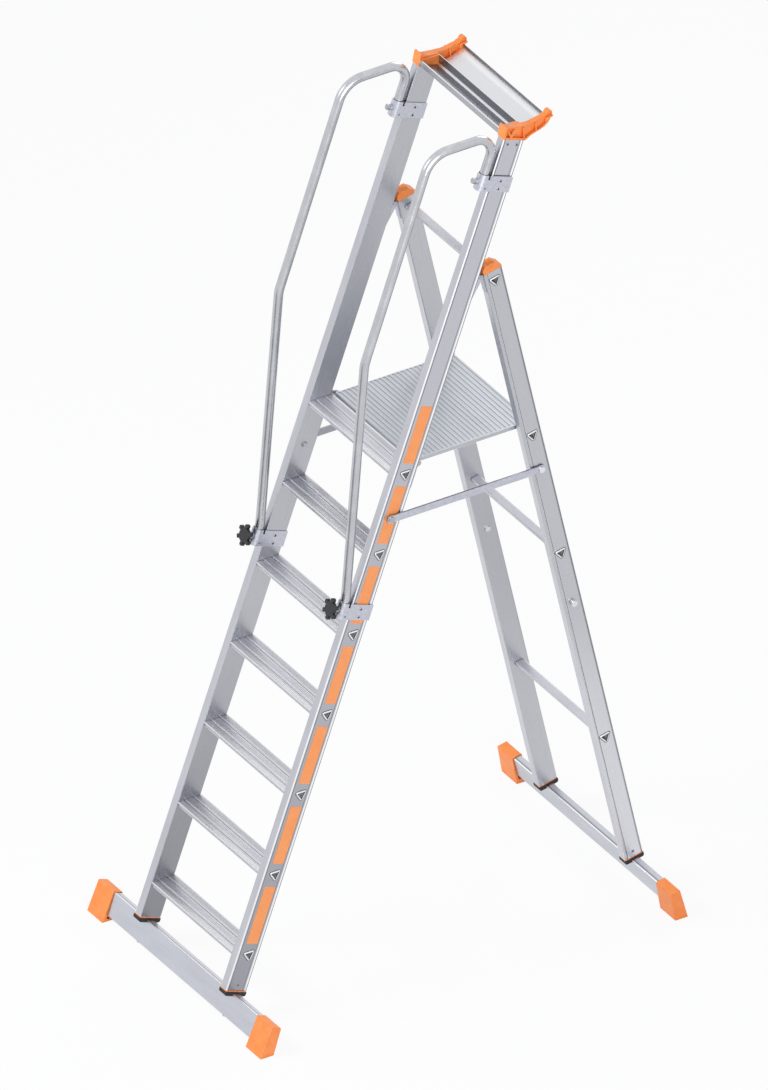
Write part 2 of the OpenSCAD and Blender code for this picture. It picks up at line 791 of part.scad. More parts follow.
module rung(z) {
    color("gainsboro") in_rear() translate([0, leg_depth / 2, z]) flared_tube(outer_x);
}
module rear_rung_lower() { rung(lower_rung_z); }
module rear_rung_middle() { rung(middle_rung_z); }
module rear_rung_platform() { rung(platform_rung_z); }
module rear_rung_top() { rung(leg_len - top_rung_drop); }

// Moulded cap on a leg: bevelled outside, with a plug in the leg
leg_cap_shares = [[0, 0], [1, 0], [1, 0.3], [0.68, 1], [0.16, 1], [0, 0.62]];
leg_cap_plug_h = 12;
leg_cap_r = 3;
module leg_cap() {
    color("darkorange")
    in_rear() translate([0, 0, leg_len]) {
        across(inner_x, outer_x) polygon(rounded(
            [for (s = leg_cap_shares) [s[0] * leg_depth, s[1] * leg_cap_h]],
            [0, 0, leg_cap_r, leg_cap_r, leg_cap_r, leg_cap_r]));
        translate([side_x, 0, -leg_cap_plug_h]) linear_extrude(height = leg_cap_plug_h) leg_bore(fit);
    }
}
module leg_cap_right() { leg_cap(); }
module leg_cap_left() { left_side() leg_cap(); }

// Fold hinge: two ears on the stile, a knuckle leaf on the leg and the pin
module stile_hinge() {
    y = hinge_front[0];
    z = hinge_front[1];
    ear_x = knuckle_w / 2 + side_gap;
    color("lightgray")
    in_front() translate([side_x, 0, 0]) {
        for (x = [-ear_x - ear_t, ear_x])
            difference() {
                across(x, x + ear_t) {
                    polygon([
                        [stile_depth, z - hinge_ear_drop], [y + knuckle_r, z],
                        [y, z + knuckle_r], [stile_depth, z + knuckle_r]
                    ]);
                    translate([y, z]) circle(r = knuckle_r, $fn = round_fn);
                }
                rod(x - overrun, x + ear_t + overrun, [y, z], hinge_pin_d / 2 + fit);
            }
        across(-ear_x, ear_x) polygon(box_points(
            [stile_depth, z - hinge_ear_drop],
            [stile_depth + hinge_base_t, z - base_clear]));
    }
}
module stile_hinge_right() { stile_hinge(); }
module stile_hinge_left() { left_side() stile_hinge(); }
module leg_hinge() {
    y = hinge_rear[0];
    z = hinge_rear[1];
    half = knuckle_w / 2;
    color("lightgray")
    in_rear() translate([side_x, 0, 0])
        difference() {
            across(-half, half) {
                polygon(box_points([-leaf_t, z - leaf_drop], [0, z]));
                polygon(box_points([y, z - knuckle_r], [0, z + leg_head]));
                translate([y, z]) circle(r = knuckle_r, $fn = round_fn);
            }
            rod(-half - overrun, half + overrun, [y, z], hinge_pin_d / 2 + pin_fit);
        }
}
module leg_hinge_right() { leg_hinge(); }
module leg_hinge_left() { left_side() leg_hinge(); }
module hinge_pins() {
    end = knuckle_w / 2 + side_gap + ear_t;
    at = [hinge_y, hinge_z];
    color("dimgray")
    both_sides() translate([side_x, 0, 0]) {
        rod(-end - pin_cap_t, end + pin_cap_t, at, hinge_pin_d / 2);
        rod(-end - pin_cap_t, -end, at, pin_cap_r);
        rod(end, end + pin_cap_t, at, pin_cap_r);
    }
}

// Platform hinge bracket behind the stile: a flange on the stile and an ear with the pivot's bore
module platform_bracket() {
    y = pivot_front[0];
    z = pivot_front[1];
    ear_x = inner_x + side_gap;
    color("lightgray")
    in_front() difference() {
        union() {
            across(ear_x, ear_x + bracket_t) {
                polygon([
                    [stile_depth, z - bracket_drop], [y + lug_r, z],
                    [y, z + lug_r], [stile_depth, z + lug_r]
                ]);
                translate([y, z]) circle(r = lug_r, $fn = round_fn);
            }
            across(ear_x, outer_x - stile_r) polygon(box_points(
                [stile_depth, z - bracket_drop],
                [stile_depth + bracket_flange_t, z - bracket_neck]));
        }
        rod(ear_x - overrun, ear_x + bracket_t + overrun, [y, z], deck_pin_d / 2 + pin_fit);
    }
}
module platform_bracket_right() { platform_bracket(); }
module platform_bracket_left() { left_side() platform_bracket(); }

// Platform: ribbed plate with webs under it, and a lip at the rear that hooks behind the rung
module deck_outline() {
    face = -rib_h;
    under = face - deck_plate;
    web_count = floor((deck_depth - 2 * web_pitch) / web_pitch);
    polygon(rounded(
        [[0, -deck_t], [web_w, -deck_t], [web_w, under], [deck_depth, under], [deck_depth, 0], [0, 0]],
        [0, 0, 0, 0, 0, deck_nose_r]));
    polygon(box_points([deck_depth - hook_lip_t, -hook_lip_h], [deck_depth, under]));
    for (i = [0:web_count])
        translate([web_pitch * (i + 1) - web_w / 2, -deck_t]) square([web_w, deck_t + under]);
}
module deck_grooves() {
    rib_count = floor(deck_depth / rib_pitch);
    for (i = [0:rib_count - 1])
        translate([rib_pitch * i + rib_w, -rib_h])
            square([rib_pitch - rib_w, rib_h + overrun]);
}
module platform_deck() {
    color("silver")
    translate([0, deck_front, deck_top]) across(-deck_half, deck_half) difference() {
        deck_outline();
        deck_grooves();
    }
}
module platform_side() {
    color("silver")
    difference() {
        across(deck_half, deck_half + rail_t) {
            translate([deck_front, deck_top]) polygon(rounded(
                box_points([0, -deck_t], [deck_depth, 0]), deck_nose_r));
            translate(pivot) circle(r = lug_r, $fn = round_fn);
        }
        rod(deck_half - overrun, deck_half + rail_t + overrun, pivot, deck_pin_d / 2 + fit);
    }
}
module platform_side_right() { platform_side(); }
module platform_side_left() { left_side() platform_side(); }
module platform_pins() {
    ear_x = inner_x + side_gap;
    head_x = ear_x + bracket_t + seat_gap;
    color("dimgray")
    both_sides() {
        rod(deck_half, head_x + pin_head_t, pivot, deck_pin_d / 2);
        rod(deck_half + rail_t, ear_x - seat_gap, pivot, pin_collar_r);
        rod(head_x, head_x + pin_head_t, pivot, pin_collar_r);
    }
}

// Handrail: a round tube bent in its own plane, each stretch starting where the last one ends
rail_points = [rail_start, rail_low, rail_knee, rail_top, rail_back, rail_end];
rail_radii = [0, knee_r, knee_r, front_bend_r, rear_bend_r, 0];
rail_last = len(rail_points) - 2;
function rail_way(i) = bearing(rail_points[i + 1] - rail_points[i]);
function rail_turn(i) = i > rail_last ? 0 : short_turn(rail_way(i) - rail_way(i - 1));
function rail_tangent(i) = i == 0 ? 0 : rail_radii[i] * tan(abs(rail_turn(i)) / 2);
function rail_straight(i) = norm(rail_points[i + 1] - rail_points[i]) - rail_tangent(i) - rail_tangent(i + 1);
module rail_run(i, d, past) {
    before = i == 0 ? past : bend_lap;
    after = i == rail_last ? past : bend_lap;
    translate([-before, 0, 0]) rotate([0, 90, 0])
        cylinder(h = before + rail_straight(i) + after, d = d, $fn = round_fn);
    if (i < rail_last)
        translate([rail_straight(i), 0, 0]) {
            turn = rail_turn(i + 1);
            r = rail_radii[i + 1];
            middle = turn > 0 ? r : -r;
            translate([0, middle, 0]) {
                rotate([0, 0, turn > 0 ? -90 : 90 + turn]) rotate_extrude(angle = abs(turn), $fn = round_fn)
                    translate([r, 0]) circle(d = d + 2 * bend_swell, $fn = round_fn);
                rotate([0, 0, turn]) translate([0, -middle, 0]) rail_run(i + 1, d, past);
            }
        }
}
module handrail() {
    color("lightgray")
    translate([side_x, rail_start[0], rail_start[1]]) rotate([90, 0, 90]) rotate([0, 0, rail_way(0)])
        difference() {
            rail_run(0, rail_d, 0);
            rail_run(0, rail_d - 2 * rail_wall, overrun);
        }
}
module handrail_right() { handrail(); }
module handrail_left() { left_side() handrail(); }

// Clamp: a sheet bent round the front of the tube and along both sides of the stile
clamp_in = stile_t / 2 + fit;
clamp_out = clamp_in + clamp_t;
screw_hole_r = clamp_screw_d / 2 + pin_fit;
module clamp_rivet_places() {
    for (share = clamp_rivet_z_shares)
        translate([0, stile_depth * clamp_rivet_y_share, clamp_h * share]) children();
}
module clamp(z) {
    color("lightgray")
    in_front() translate([side_x, 0, z])
        difference() {
            union() {
                translate([0, 0, -clamp_h / 2]) linear_extrude(height = clamp_h) difference() {
                    union() {
                        polygon(box_points([-clamp_out, -rail_off], [clamp_out, stile_depth + fit + clamp_t]));
                        translate([0, -rail_off]) circle(r = clamp_out, $fn = round_fn);
                    }
                    polygon(box_points([-clamp_in, -rail_off], [clamp_in, stile_depth + fit]));
                    translate([0, -rail_off]) circle(r = clamp_in, $fn = round_fn);
                    polygon(box_points(
                        [-clamp_in + clamp_return, stile_depth],
                        [clamp_in - clamp_return, stile_depth + fit + clamp_t + overrun]));
                }
                front_rod(-rail_off - clamp_out - boss_l, -rail_off - clamp_in - clamp_t / 2, 0, 0, boss_r);
            }
            front_rod(-rail_off - clamp_out - boss_l - overrun, -rail_off, 0, 0, screw_hole_r);
            translate([-clamp_out - overrun, -clamp_notch_in, clamp_h / 2 - clamp_notch_h])
                cube([2 * (clamp_out + overrun), clamp_notch_w, clamp_notch_h + overrun]);
            rod(-clamp_out - overrun, clamp_out + overrun,
                [-clamp_hole_in, -clamp_h * clamp_hole_z_share], clamp_hole_d / 2);
            clamp_rivet_places()
                rod(-clamp_out - overrun, clamp_out + overrun, [0, 0], rivet_d / 2);
        }
}
module upper_clamp_right() { clamp(upper_clamp_z); }
module upper_clamp_left() { left_side() clamp(upper_clamp_z); }
module lower_clamp_right() { clamp(lower_clamp_z); }
module lower_clamp_left() { left_side() clamp(lower_clamp_z); }
screw_tip = -rail_off - rail_d / 2 - seat_gap;
boss_face = -rail_off - clamp_out - boss_l;
module upper_clamp_bolts() {
    color("lightgray")
    both_sides() in_front() translate([side_x, 0, upper_clamp_z]) {
        front_rod(boss_face - bolt_head_l, screw_tip, 0, 0, clamp_screw_d / 2);
        translate([0, boss_face, 0]) rotate([90, 0, 0]) cylinder(h = bolt_head_l, r = bolt_head_r, $fn = 6);
    }
}

// Star knob: a lobed grip with rounded edges, a hub and the clamp screw
knob_back = boss_face - knob_clear;
module knob_star() {
    circle(d = knob_core_d, $fn = round_fn);
    for (i = [0:lobe_count - 1])
        rotate((i + 1 / 2) * 360 / lobe_count)
            translate([knob_d / 2 - lobe_r, 0]) circle(r = lobe_r, $fn = round_fn);
}
module star_knob() {
    rim_r = knob_d / 2 + overrun;
    color("dimgray")
    in_front() translate([side_x, knob_back, lower_clamp_z]) rotate([90, 0, 0]) {
        cylinder(h = knob_hub_l, d = knob_hub_d, $fn = round_fn);
        translate([0, 0, knob_hub_l]) intersection() {
            linear_extrude(height = knob_t) knob_star();
            rotate_extrude($fn = round_fn) polygon(rounded(
                [[0, 0], [rim_r, 0], [rim_r, knob_t], [0, knob_t]],
                [0, knob_edge_r, knob_edge_r, 0]));
        }
        translate([0, 0, knob_back - screw_tip])
            cylinder(h = screw_tip - knob_back + overrun, d = clamp_screw_d, $fn = round_fn);
    }
}
module star_knob_right() { star_knob(); }
module star_knob_left() { left_side() star_knob(); }

// Stays: flat bars with a bore at the stile and an open hook at the leg
module stay() {
    lean = [-cos(slot_lean), -sin(slot_lean)];
    reach = 2 * stay_end_r;
    slot_r = stud_d / 2 + slot_play;
    side = [-lean[1], lean[0]] * slot_r;
    color("lightgray")
    across(stay_x, stay_x + stay_t) difference() {
        union() {
            polygon(box_points(stay_front - [0, stay_h / 2], stay_rear + [0, stay_h / 2]));
            translate(stay_front) circle(r = stay_end_r, $fn = round_fn);
            translate(stay_rear) circle(r = stay_end_r, $fn = round_fn);
        }
        translate(stay_front) circle(r = stud_d / 2 + pin_fit, $fn = round_fn);
        translate(stay_rear) circle(r = slot_r, $fn = round_fn);
        translate(stay_rear) polygon([side, side + lean * reach, lean * reach - side, -side]);
    }
}
module stay_right() { stay(); }
module stay_left() { left_side() stay(); }
// Bolt through a stile or leg with a shoulder outside, a round head and a nut inside
module stay_bolt(at, face_x) {
    head_x = stay_x + stay_t + seat_gap;
    rod(inner_x - nut_t, head_x + stud_head_t, at, stud_d / 2);
    rod(head_x, head_x + stud_head_t, at, stud_head_r);
    rod(face_x, stay_x - seat_gap, at, stud_head_r);
    hex_rod(inner_x - nut_t, inner_x, at, nut_r);
}
module stay_pivots() {
    color("lightgray") both_sides() stay_bolt(stay_front, web_x);
}
module stay_studs() {
    color("lightgray")
    both_sides() for (z = stud_places) stay_bolt(rear_at(leg_depth / 2, z), outer_x);
}

// Rivets of the front frame: plugs, tray brackets and clamps
module front_rivets() {
    color("lightgray")
    both_sides() in_front() {
        for (at = stile_rivets) rivet(web_x, at, stile_wall);
        for (z = [lower_clamp_z, upper_clamp_z])
            translate([side_x, 0, z]) clamp_rivet_places() {
                rivet(clamp_out, [0, 0], clamp_t);
                mirror([1, 0, 0]) rivet(clamp_out, [0, 0], clamp_t);
            }
    }
}
module rear_rivets() {
    color("lightgray") both_sides() in_rear() rivet(outer_x, [leg_depth / 2, plug_rivet_z], stile_wall);
}

// Tray: an extruded profile with a front lip, a sloping trough, a dividing wall and a coved floor
function trough_z(y) = (tray_divide - y) * tan(trough_slope) - tray_hollow;
function floor_z(y) = (y - tray_divide - tray_wall) * tan(floor_slope) - tray_hollow;
foot_y = tray_divide - trough_foot;
module tray_outline() {
    divide_back = tray_divide + tray_wall;
    rear_face = tray_depth - tray_wall;
    rim_top = max(tray_rear_over, floor_z(rear_face) + cove_r);
    polygon(rounded(
        [
            [0, -tray_front_h], [tray_lip_t, -tray_front_h], [tray_lip_t, trough_z(tray_lip_t) - tray_wall],
            [tray_divide, -tray_hollow - tray_wall], [divide_back, -tray_hollow - tray_wall],
            [tray_depth, floor_z(tray_depth) - tray_wall], [tray_depth, rim_top],
            [rear_face, rim_top], [rear_face, floor_z(rear_face)],
            [divide_back, -tray_hollow], [divide_back, 0], [tray_divide, 0],
            [tray_divide, trough_foot - tray_hollow], [foot_y, trough_z(foot_y)],
            [tray_lip_t, trough_z(tray_lip_t)], [tray_lip_t, 0], [0, 0]
        ],
        [0, 0, 0, 0, 0, cove_r + tray_wall, 0, 0, cove_r, 0, 0, 0, 0, 0, 0, 0, 0], cove_steps));
}
tray_place = stile_top + [tray_in, tray_rise];
module tray() {
    color("silver") across(-tray_half, tray_half) translate(tray_place) tray_outline();
}

// Tray bracket: a moulded cheek that caps the stile over a neck groove, with ribs beside a middle web,
// a hook at the rear, a tongue that lies in the tray's trough and a plug in the stile
function bracket_points(shares) = [for (s = shares) stile_top + [s[0] * bracket_reach, s[1] * bracket_rise]];
module bracket_outline() {
    polygon(concat([stile_top], bracket_points(bracket_top_shares),
        bracket_points(bracket_back_shares), [stile_top_back]));
    translate(stile_top + [hook_shares[0] * bracket_reach, hook_shares[1] * bracket_rise])
        circle(r = hook_r, $fn = round_fn);
}
module bracket_hollows(cells, start_share, low_share) {
    high_share = step_shares[len(step_shares) - 1][1];
    for (shares = cells)
        polygon(bracket_points(shares));
    polygon(bracket_points(concat([[start_share, high_share], [start_share, low_share]], step_shares)));
}
module bracket_tongue() {
    start = tray_lip_t + seat_gap;
    end = tray_divide - seat_gap;
    lift = 2 * seat_gap;
    translate(tray_place) polygon([
        [start, tongue_front], [start, trough_z(start) + lift], [foot_y - seat_gap, trough_z(foot_y) + lift],
        [end, trough_foot - tray_hollow + lift], [end, tongue_rear]
    ]);
}
module tray_bracket() {
    x1 = outer_x + bracket_over;
    cut = (x1 - tray_half - bracket_web) / 2;
    color("darkorange")
    difference() {
        union() {
            across(tray_half, x1) bracket_outline();
            across(tray_half - tongue_l, tray_half + overrun) bracket_tongue();
            in_front() translate([side_x, 0, stile_len - bracket_plug_h])
                linear_extrude(height = bracket_plug_h + stile_wall) stile_bore(fit);
        }
        across(x1 - cut, x1 + overrun)
            bracket_hollows(concat(front_cell_shares, rear_cell_shares), step_front_share, step_low_share);
        across(tray_half - overrun, tray_half + cut)
            bracket_hollows(rear_cell_shares, step_inner_share, step_inner_low_share);
        in_front() translate([x1 - neck_in, neck_front, stile_len - overrun])
            cube([neck_in + overrun, stile_depth + overrun - neck_front, neck_h + overrun]);
        in_front() stile_rivet_holes();
    }
}
module tray_bracket_right() { tray_bracket(); }
module tray_bracket_left() { left_side() tray_bracket(); }

front_stile_left();
front_stile_right();
tread_1();
tread_2();
tread_3();
tread_4();
tread_5();
tread_6();
platform_tread();
front_crossbar();
front_foot_left();
front_foot_right();
front_plugs();
front_pads();
front_bar_bolts();
tray();
tray_bracket_left();
tray_bracket_right();
front_rivets();
stile_hinge_left();
stile_hinge_right();
hinge_pins();
platform_bracket_left();
platform_bracket_right();
upper_clamp_left();
upper_clamp_right();
lower_clamp_left();
lower_clamp_right();
handrail_left();
handrail_right();
upper_clamp_bolts();
stay_pivots();
star_knob_left();
star_knob_right();
rear_leg_left();
rear_leg_right();
rear_rung_top();
rear_rung_platform();
rear_rung_middle();
rear_rung_lower();
rear_crossbar();
rear_foot_left();
rear_foot_right();
rear_plugs();
rear_pads();
rear_bar_bolts();
leg_cap_left();
leg_cap_right();
leg_hinge_left();
leg_hinge_right();
stay_studs();
rear_rivets();
platform_deck();
platform_side_left();
platform_side_right();
platform_pins();
stay_left();
stay_right();
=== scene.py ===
import math

import bmesh
import bpy
from mathutils import Matrix, Vector


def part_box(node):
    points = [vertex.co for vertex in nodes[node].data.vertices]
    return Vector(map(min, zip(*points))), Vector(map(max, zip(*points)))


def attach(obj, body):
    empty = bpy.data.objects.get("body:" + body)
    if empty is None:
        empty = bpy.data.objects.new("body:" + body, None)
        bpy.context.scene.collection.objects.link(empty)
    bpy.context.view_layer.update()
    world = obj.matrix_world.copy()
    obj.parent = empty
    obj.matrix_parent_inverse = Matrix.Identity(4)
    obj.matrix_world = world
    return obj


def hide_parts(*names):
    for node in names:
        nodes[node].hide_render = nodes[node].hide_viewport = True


# Folding platform steps. The CAD nodes keep their shapes and get their finishes here, and the small
# pieces that the solids leave plain are modelled: film labels, domed blind rivets and rolled rims.
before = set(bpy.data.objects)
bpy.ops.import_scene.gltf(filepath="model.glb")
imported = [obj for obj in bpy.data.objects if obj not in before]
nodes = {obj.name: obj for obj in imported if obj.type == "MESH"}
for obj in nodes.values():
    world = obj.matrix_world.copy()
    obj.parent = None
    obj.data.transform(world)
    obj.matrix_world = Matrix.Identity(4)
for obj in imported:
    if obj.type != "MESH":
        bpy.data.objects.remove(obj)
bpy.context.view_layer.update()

MM = 0.001
# The climbing frame and the support frame lean by these angles, in degrees from upright
FRONT_LEAN = 20.0
REAR_LEAN = 12.5
SIDE_X = 225 * MM
STILE_DEPTH = 70 * MM
STILE_THICK = 30 * MM
LEG_DEPTH = 60 * MM
TREAD_PITCH = 250 * MM
BEAD = 2.4 * MM


# Places on the two leaning frames
def in_frame(start, lean):
    """Matrix from a leaning frame's own axes (across, depth, length) to the part's."""
    return Matrix.Translation(start) @ Matrix.Rotation(math.radians(lean), 4, "X")


stile_low = Vector(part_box("front_stile_right")[0])
front_start = Vector((0.0, stile_low.y, stile_low.z + STILE_DEPTH * math.sin(math.radians(FRONT_LEAN))))
leg_low, leg_high = (Vector(v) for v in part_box("rear_leg_right"))
rear_start = Vector((0.0, leg_high.y - LEG_DEPTH * math.cos(math.radians(REAR_LEAN)), leg_low.z))


# Materials
def hex_colour(code):
    """An sRGB hex colour as the linear colour a shader takes."""
    parts = [int(code[i:i + 2], 16) / 255 for i in (1, 3, 5)]
    return [c / 12.92 if c <= 0.04045 else ((c + 0.055) / 1.055) ** 2.4 for c in parts] + [1.0]


def put(tree, kind, settings=None, inputs=None):
    """Adds one shader node, sets its own properties and feeds its sockets with values or links."""
    n = tree.nodes.new(kind)
    for name, value in (settings or {}).items():
        setattr(n, name, value)
    for name, value in (inputs or {}).items():
        if isinstance(value, bpy.types.NodeSocket):
            tree.links.new(value, n.inputs[name])
        else:
            n.inputs[name].default_value = value
    return n


def new_material(name, **sockets):
    """A material with one principled shader whose constant values are set on its own sockets."""
    mat = bpy.data.materials.new(name)
    mat.use_nodes = True
    tree = mat.node_tree
    shader = tree.nodes["Principled BSDF"]
    for key, value in sockets.items():
        shader.inputs[key].default_value = value
    return mat, tree, shader


def grain(tree, size_mm, turn=(0, 0, 0), detail=3.0, lumps=0.55):
    """Noise whose cells have a real size in millimetres along the pattern's own axes."""
    coord = put(tree, "ShaderNodeTexCoord")
    place = put(tree, "ShaderNodeMapping", {"vector_type": "TEXTURE"}, {
        "Vector": coord.outputs["Object"],
        "Rotation": [math.radians(a) for a in turn],
        "Scale": [s * MM for s in size_mm],
    })
    return put(tree, "ShaderNodeTexNoise", None, {
        "Vector": place.outputs["Vector"], "Scale": 1.0, "Detail": detail, "Roughness": lumps,
    })


def set_stops(ramp, stops):
    """Gives a colour ramp its stops, in order: each is a place from 0 to 1 and a colour."""
    steps = ramp.color_ramp.elements
    while len(steps) < len(stops):
        steps.new(1.0)
    for step, (at, colour) in zip(steps, stops):
        step.position = at
        step.color = colour


def tone(tree, noise, stops):
    """Maps a noise to a run of close colours."""
    ramp = put(tree, "ShaderNodeValToRGB", None, {"Fac": noise.outputs["Fac"]})
    set_stops(ramp, [(at, hex_colour(code)) for at, code in stops])
    return ramp.outputs["Color"]


def axes_mm(tree, start, lean):
    """Across, depth and length in millimetres along a leaning frame's own axes."""
    coord = put(tree, "ShaderNodeTexCoord")
    place = put(tree, "ShaderNodeMapping", {"vector_type": "TEXTURE"}, {
        "Vector": coord.outputs["Object"],
        "Location": start,
        "Rotation": (math.radians(lean), 0, 0),
        "Scale": (MM, MM, MM),
    })
    return put(tree, "ShaderNodeSeparateXYZ", None, {"Vector": place.outputs["Vector"]}).outputs


def reach(tree, across, kind, mm):
    """1 where a point lies farther from the middle plane, or nearer to it, than a size in millimetres."""
    far = put(tree, "ShaderNodeMath", {"operation": "ABSOLUTE"}, {0: across})
    return put(tree, "ShaderNodeMath", {"operation": kind}, {0: far.outputs[0], 1: mm}).outputs[0]


def bands(tree, along, size_mm, skin, stops, mask=None):
    """Lays bands over a skin. Each stop is a place in millimetres, a colour and how much it covers."""
    share = put(tree, "ShaderNodeMath", {"operation": "DIVIDE"}, {0: along, 1: size_mm})
    ramp = put(tree, "ShaderNodeValToRGB", None, {"Fac": share.outputs[0]})
    set_stops(ramp, [(at / size_mm, hex_colour(code)[:3] + [cover]) for at, code, cover in stops])
    cover = ramp.outputs["Alpha"]
    if mask is not None:
        cover = put(tree, "ShaderNodeMath", {"operation": "MULTIPLY"}, {0: cover, 1: mask}).outputs[0]
    return put(tree, "ShaderNodeMix", {"data_type": "RGBA"}, {
        "Factor": cover, "A": skin, "B": ramp.outputs["Color"],
    }).outputs["Result"]


# Most of a noise lies between these values
NOISE_LOW, NOISE_HIGH = 0.3, 0.7


def sheen(tree, shader, noise, low, high):
    """Spreads the roughness over a span, by a noise."""
    rough = put(tree, "ShaderNodeMapRange", None, {
        "Value": noise.outputs["Fac"],
        "From Min": NOISE_LOW,
        "From Max": NOISE_HIGH,
        "To Min": low,
        "To Max": high,
    })
    tree.links.new(rough.outputs["Result"], shader.inputs["Roughness"])


def relief(tree, shader, noise, height_mm, strength):
    """Raises and sinks the surface a little, by a noise."""
    bump = put(tree, "ShaderNodeBump", None, {
        "Height": noise.outputs["Fac"], "Distance": height_mm * MM, "Strength": strength,
    })
    tree.links.new(bump.outputs["Normal"], shader.inputs["Normal"])


# An edge shows where the softened normal turns from the plain one, told by the cosine between them,
# and a corner where less than the open share of its surroundings is free
EDGE_FLAT, EDGE_SHARP, EDGE_COVER = 0.985, 0.86, 0.9
CORNER_OPEN, CORNER_SHUT = 0.85, 0.35
EDGE_AND_CORNER_SAMPLES = 6


def paint_edges_and_corner_shade(tree, shader, skin, edge_paint, corner_shade, edge_mm, corner_mm):
    """Painted light: outer edges painted a given tone, and painted shade in inner corners."""
    soft = put(tree, "ShaderNodeBevel", {"samples": EDGE_AND_CORNER_SAMPLES}, {"Radius": edge_mm * MM})
    plain = put(tree, "ShaderNodeNewGeometry")
    match = put(tree, "ShaderNodeVectorMath", {"operation": "DOT_PRODUCT"}, {
        0: soft.outputs["Normal"], 1: plain.outputs["Normal"],
    })
    edge = put(tree, "ShaderNodeMapRange", None, {
        "Value": match.outputs["Value"],
        "From Min": EDGE_FLAT,
        "From Max": EDGE_SHARP,
        "To Min": 0.0,
        "To Max": EDGE_COVER,
    })
    edged = put(tree, "ShaderNodeMix", {"data_type": "RGBA"}, {
        "Factor": edge.outputs["Result"], "A": skin, "B": hex_colour(edge_paint),
    })
    near = put(tree, "ShaderNodeAmbientOcclusion", {"samples": EDGE_AND_CORNER_SAMPLES}, {"Distance": corner_mm * MM})
    corner_shade_share = put(tree, "ShaderNodeMapRange", None, {
        "Value": near.outputs["AO"],
        "From Min": CORNER_OPEN,
        "From Max": CORNER_SHUT,
        "To Min": 0.0,
        "To Max": 1.0,
    })
    edge_and_corner_paint = put(tree, "ShaderNodeMix", {"data_type": "RGBA"}, {
        "Factor": corner_shade_share.outputs["Result"], "A": edged.outputs["Result"], "B": hex_colour(corner_shade),
    })
    tree.links.new(edge_and_corner_paint.outputs["Result"], shader.inputs["Base Color"])


# Extruded aluminium, left as it came from the die: a satin grey with long fine die lines along the profile,
# faint cloudy patches of dull and bright skin, edges in a painted tone, and painted grey shade in corners.
# Die lines are a few hundredths of a millimetre wide, drawn 1.4 mm wide so that they show.
CLOUD_MM, DIE_LINE_MM, LINE_HEIGHT_MM = (38, 38, 170), (1.4, 1.4, 260), 0.05
LINE_SMOOTHER, LINE_ROUGHER = 0.07, 0.1
WORN_RELIEF, CLEAN_RELIEF = 0.35, 0.12
CORNER_SHADE_GREY = "#7E8087"


def extruded_aluminium(name, turn, light="#CDCED5", dark="#BFC0C8", rough=0.32, dress=None, edge_and_corner_paint=True,
                       edge=("#F4F4F6", 1.6), corner_mm=9.0):
    """One profile's finish. Its edge is the painted edge colour and a width in millimetres."""
    mat, tree, shader = new_material(name, Metallic=1.0)
    clouds = grain(tree, CLOUD_MM, turn, detail=4.0)
    skin = tone(tree, clouds, [(0.25, dark), (0.75, light)])
    if dress:
        skin = dress(tree, shader, skin)
    if edge_and_corner_paint:
        paint_edges_and_corner_shade(tree, shader, skin, edge[0], CORNER_SHADE_GREY, edge[1], corner_mm)
    else:
        tree.links.new(skin, shader.inputs["Base Color"])
    lines = grain(tree, DIE_LINE_MM, turn, detail=2.0)
    sheen(tree, shader, lines, rough - LINE_SMOOTHER, rough + LINE_ROUGHER)
    relief(tree, shader, lines, LINE_HEIGHT_MM, WORN_RELIEF if edge_and_corner_paint else CLEAN_RELIEF)
    return mat


# The stiles' edge beads: a painted highlight on each bead, and painted shade in the hollow beside it and on
# the rear corner
PAINTED_HIGHLIGHT, PALE, PAINTED_SHADE = "#FAFAFC", "#C6C7CD", "#84868D"
STILE_BANDS = [
    (0.0, PAINTED_HIGHLIGHT, 1), (2.8, PAINTED_HIGHLIGHT, 1), (3.4, PALE, 0.6), (6.3, PALE, 0.6),
    (6.8, PAINTED_SHADE, 1), (9.4, PAINTED_SHADE, 1), (10.0, PAINTED_SHADE, 0), (56.0, PAINTED_SHADE, 0),
    (56.6, PAINTED_SHADE, 0.8), (59.4, PAINTED_SHADE, 0.8), (60.0, PALE, 0.5), (62.4, PALE, 0.5),
    (62.9, PAINTED_HIGHLIGHT, 1), (66.0, PAINTED_HIGHLIGHT, 1), (66.6, PAINTED_SHADE, 1), (STILE_DEPTH / MM, PAINTED_SHADE, 1),
]
# Painted shade: both faces of a stile are painted darker low down, and the inner face darker still farther
# up
STILE_LONG_MM = 2500.0
STILE_WEB = [
    (0.0, "#9A9BA2", 0.9), (250.0, "#A3A4AB", 0.9), (850.0, "#B2B3BA", 0.9),
    (1400.0, "#BCBDC4", 0.9), (1800.0, "#C4C5CC", 0.9), (STILE_LONG_MM, "#C4C5CC", 0.9),
]
STILE_INSIDE = [
    (0.0, "#8A8B91", 0.92), (300.0, "#97989E", 0.92), (600.0, "#A9AAB0", 0.92),
    (1000.0, "#BBBCC2", 0.92), (STILE_LONG_MM, "#BBBCC2", 0.92),
]

# Legs: a painted highlight in the narrow groove, outer faces paler low down, inner faces in painted shade
LEG_BANDS = [
    (0.0, PALE, 0), (7.2, PALE, 0), (7.6, PAINTED_HIGHLIGHT, 1), (11.4, PAINTED_HIGHLIGHT, 1),
    (11.8, PALE, 0), (LEG_DEPTH / MM, PALE, 0),
]
LEG_LONG_MM = 2000.0
LEG_WEB = [
    (0.0, "#DEDFE5", 0.8), (600.0, "#DADBE1", 0.8), (900.0, "#C6C7CD", 0.8), (LEG_LONG_MM, "#BEBFC5", 0.8),
]
LEG_INSIDE = [(0.0, "#C0C1C7", 0.8), (LEG_LONG_MM, "#C0C1C7", 0.8)]

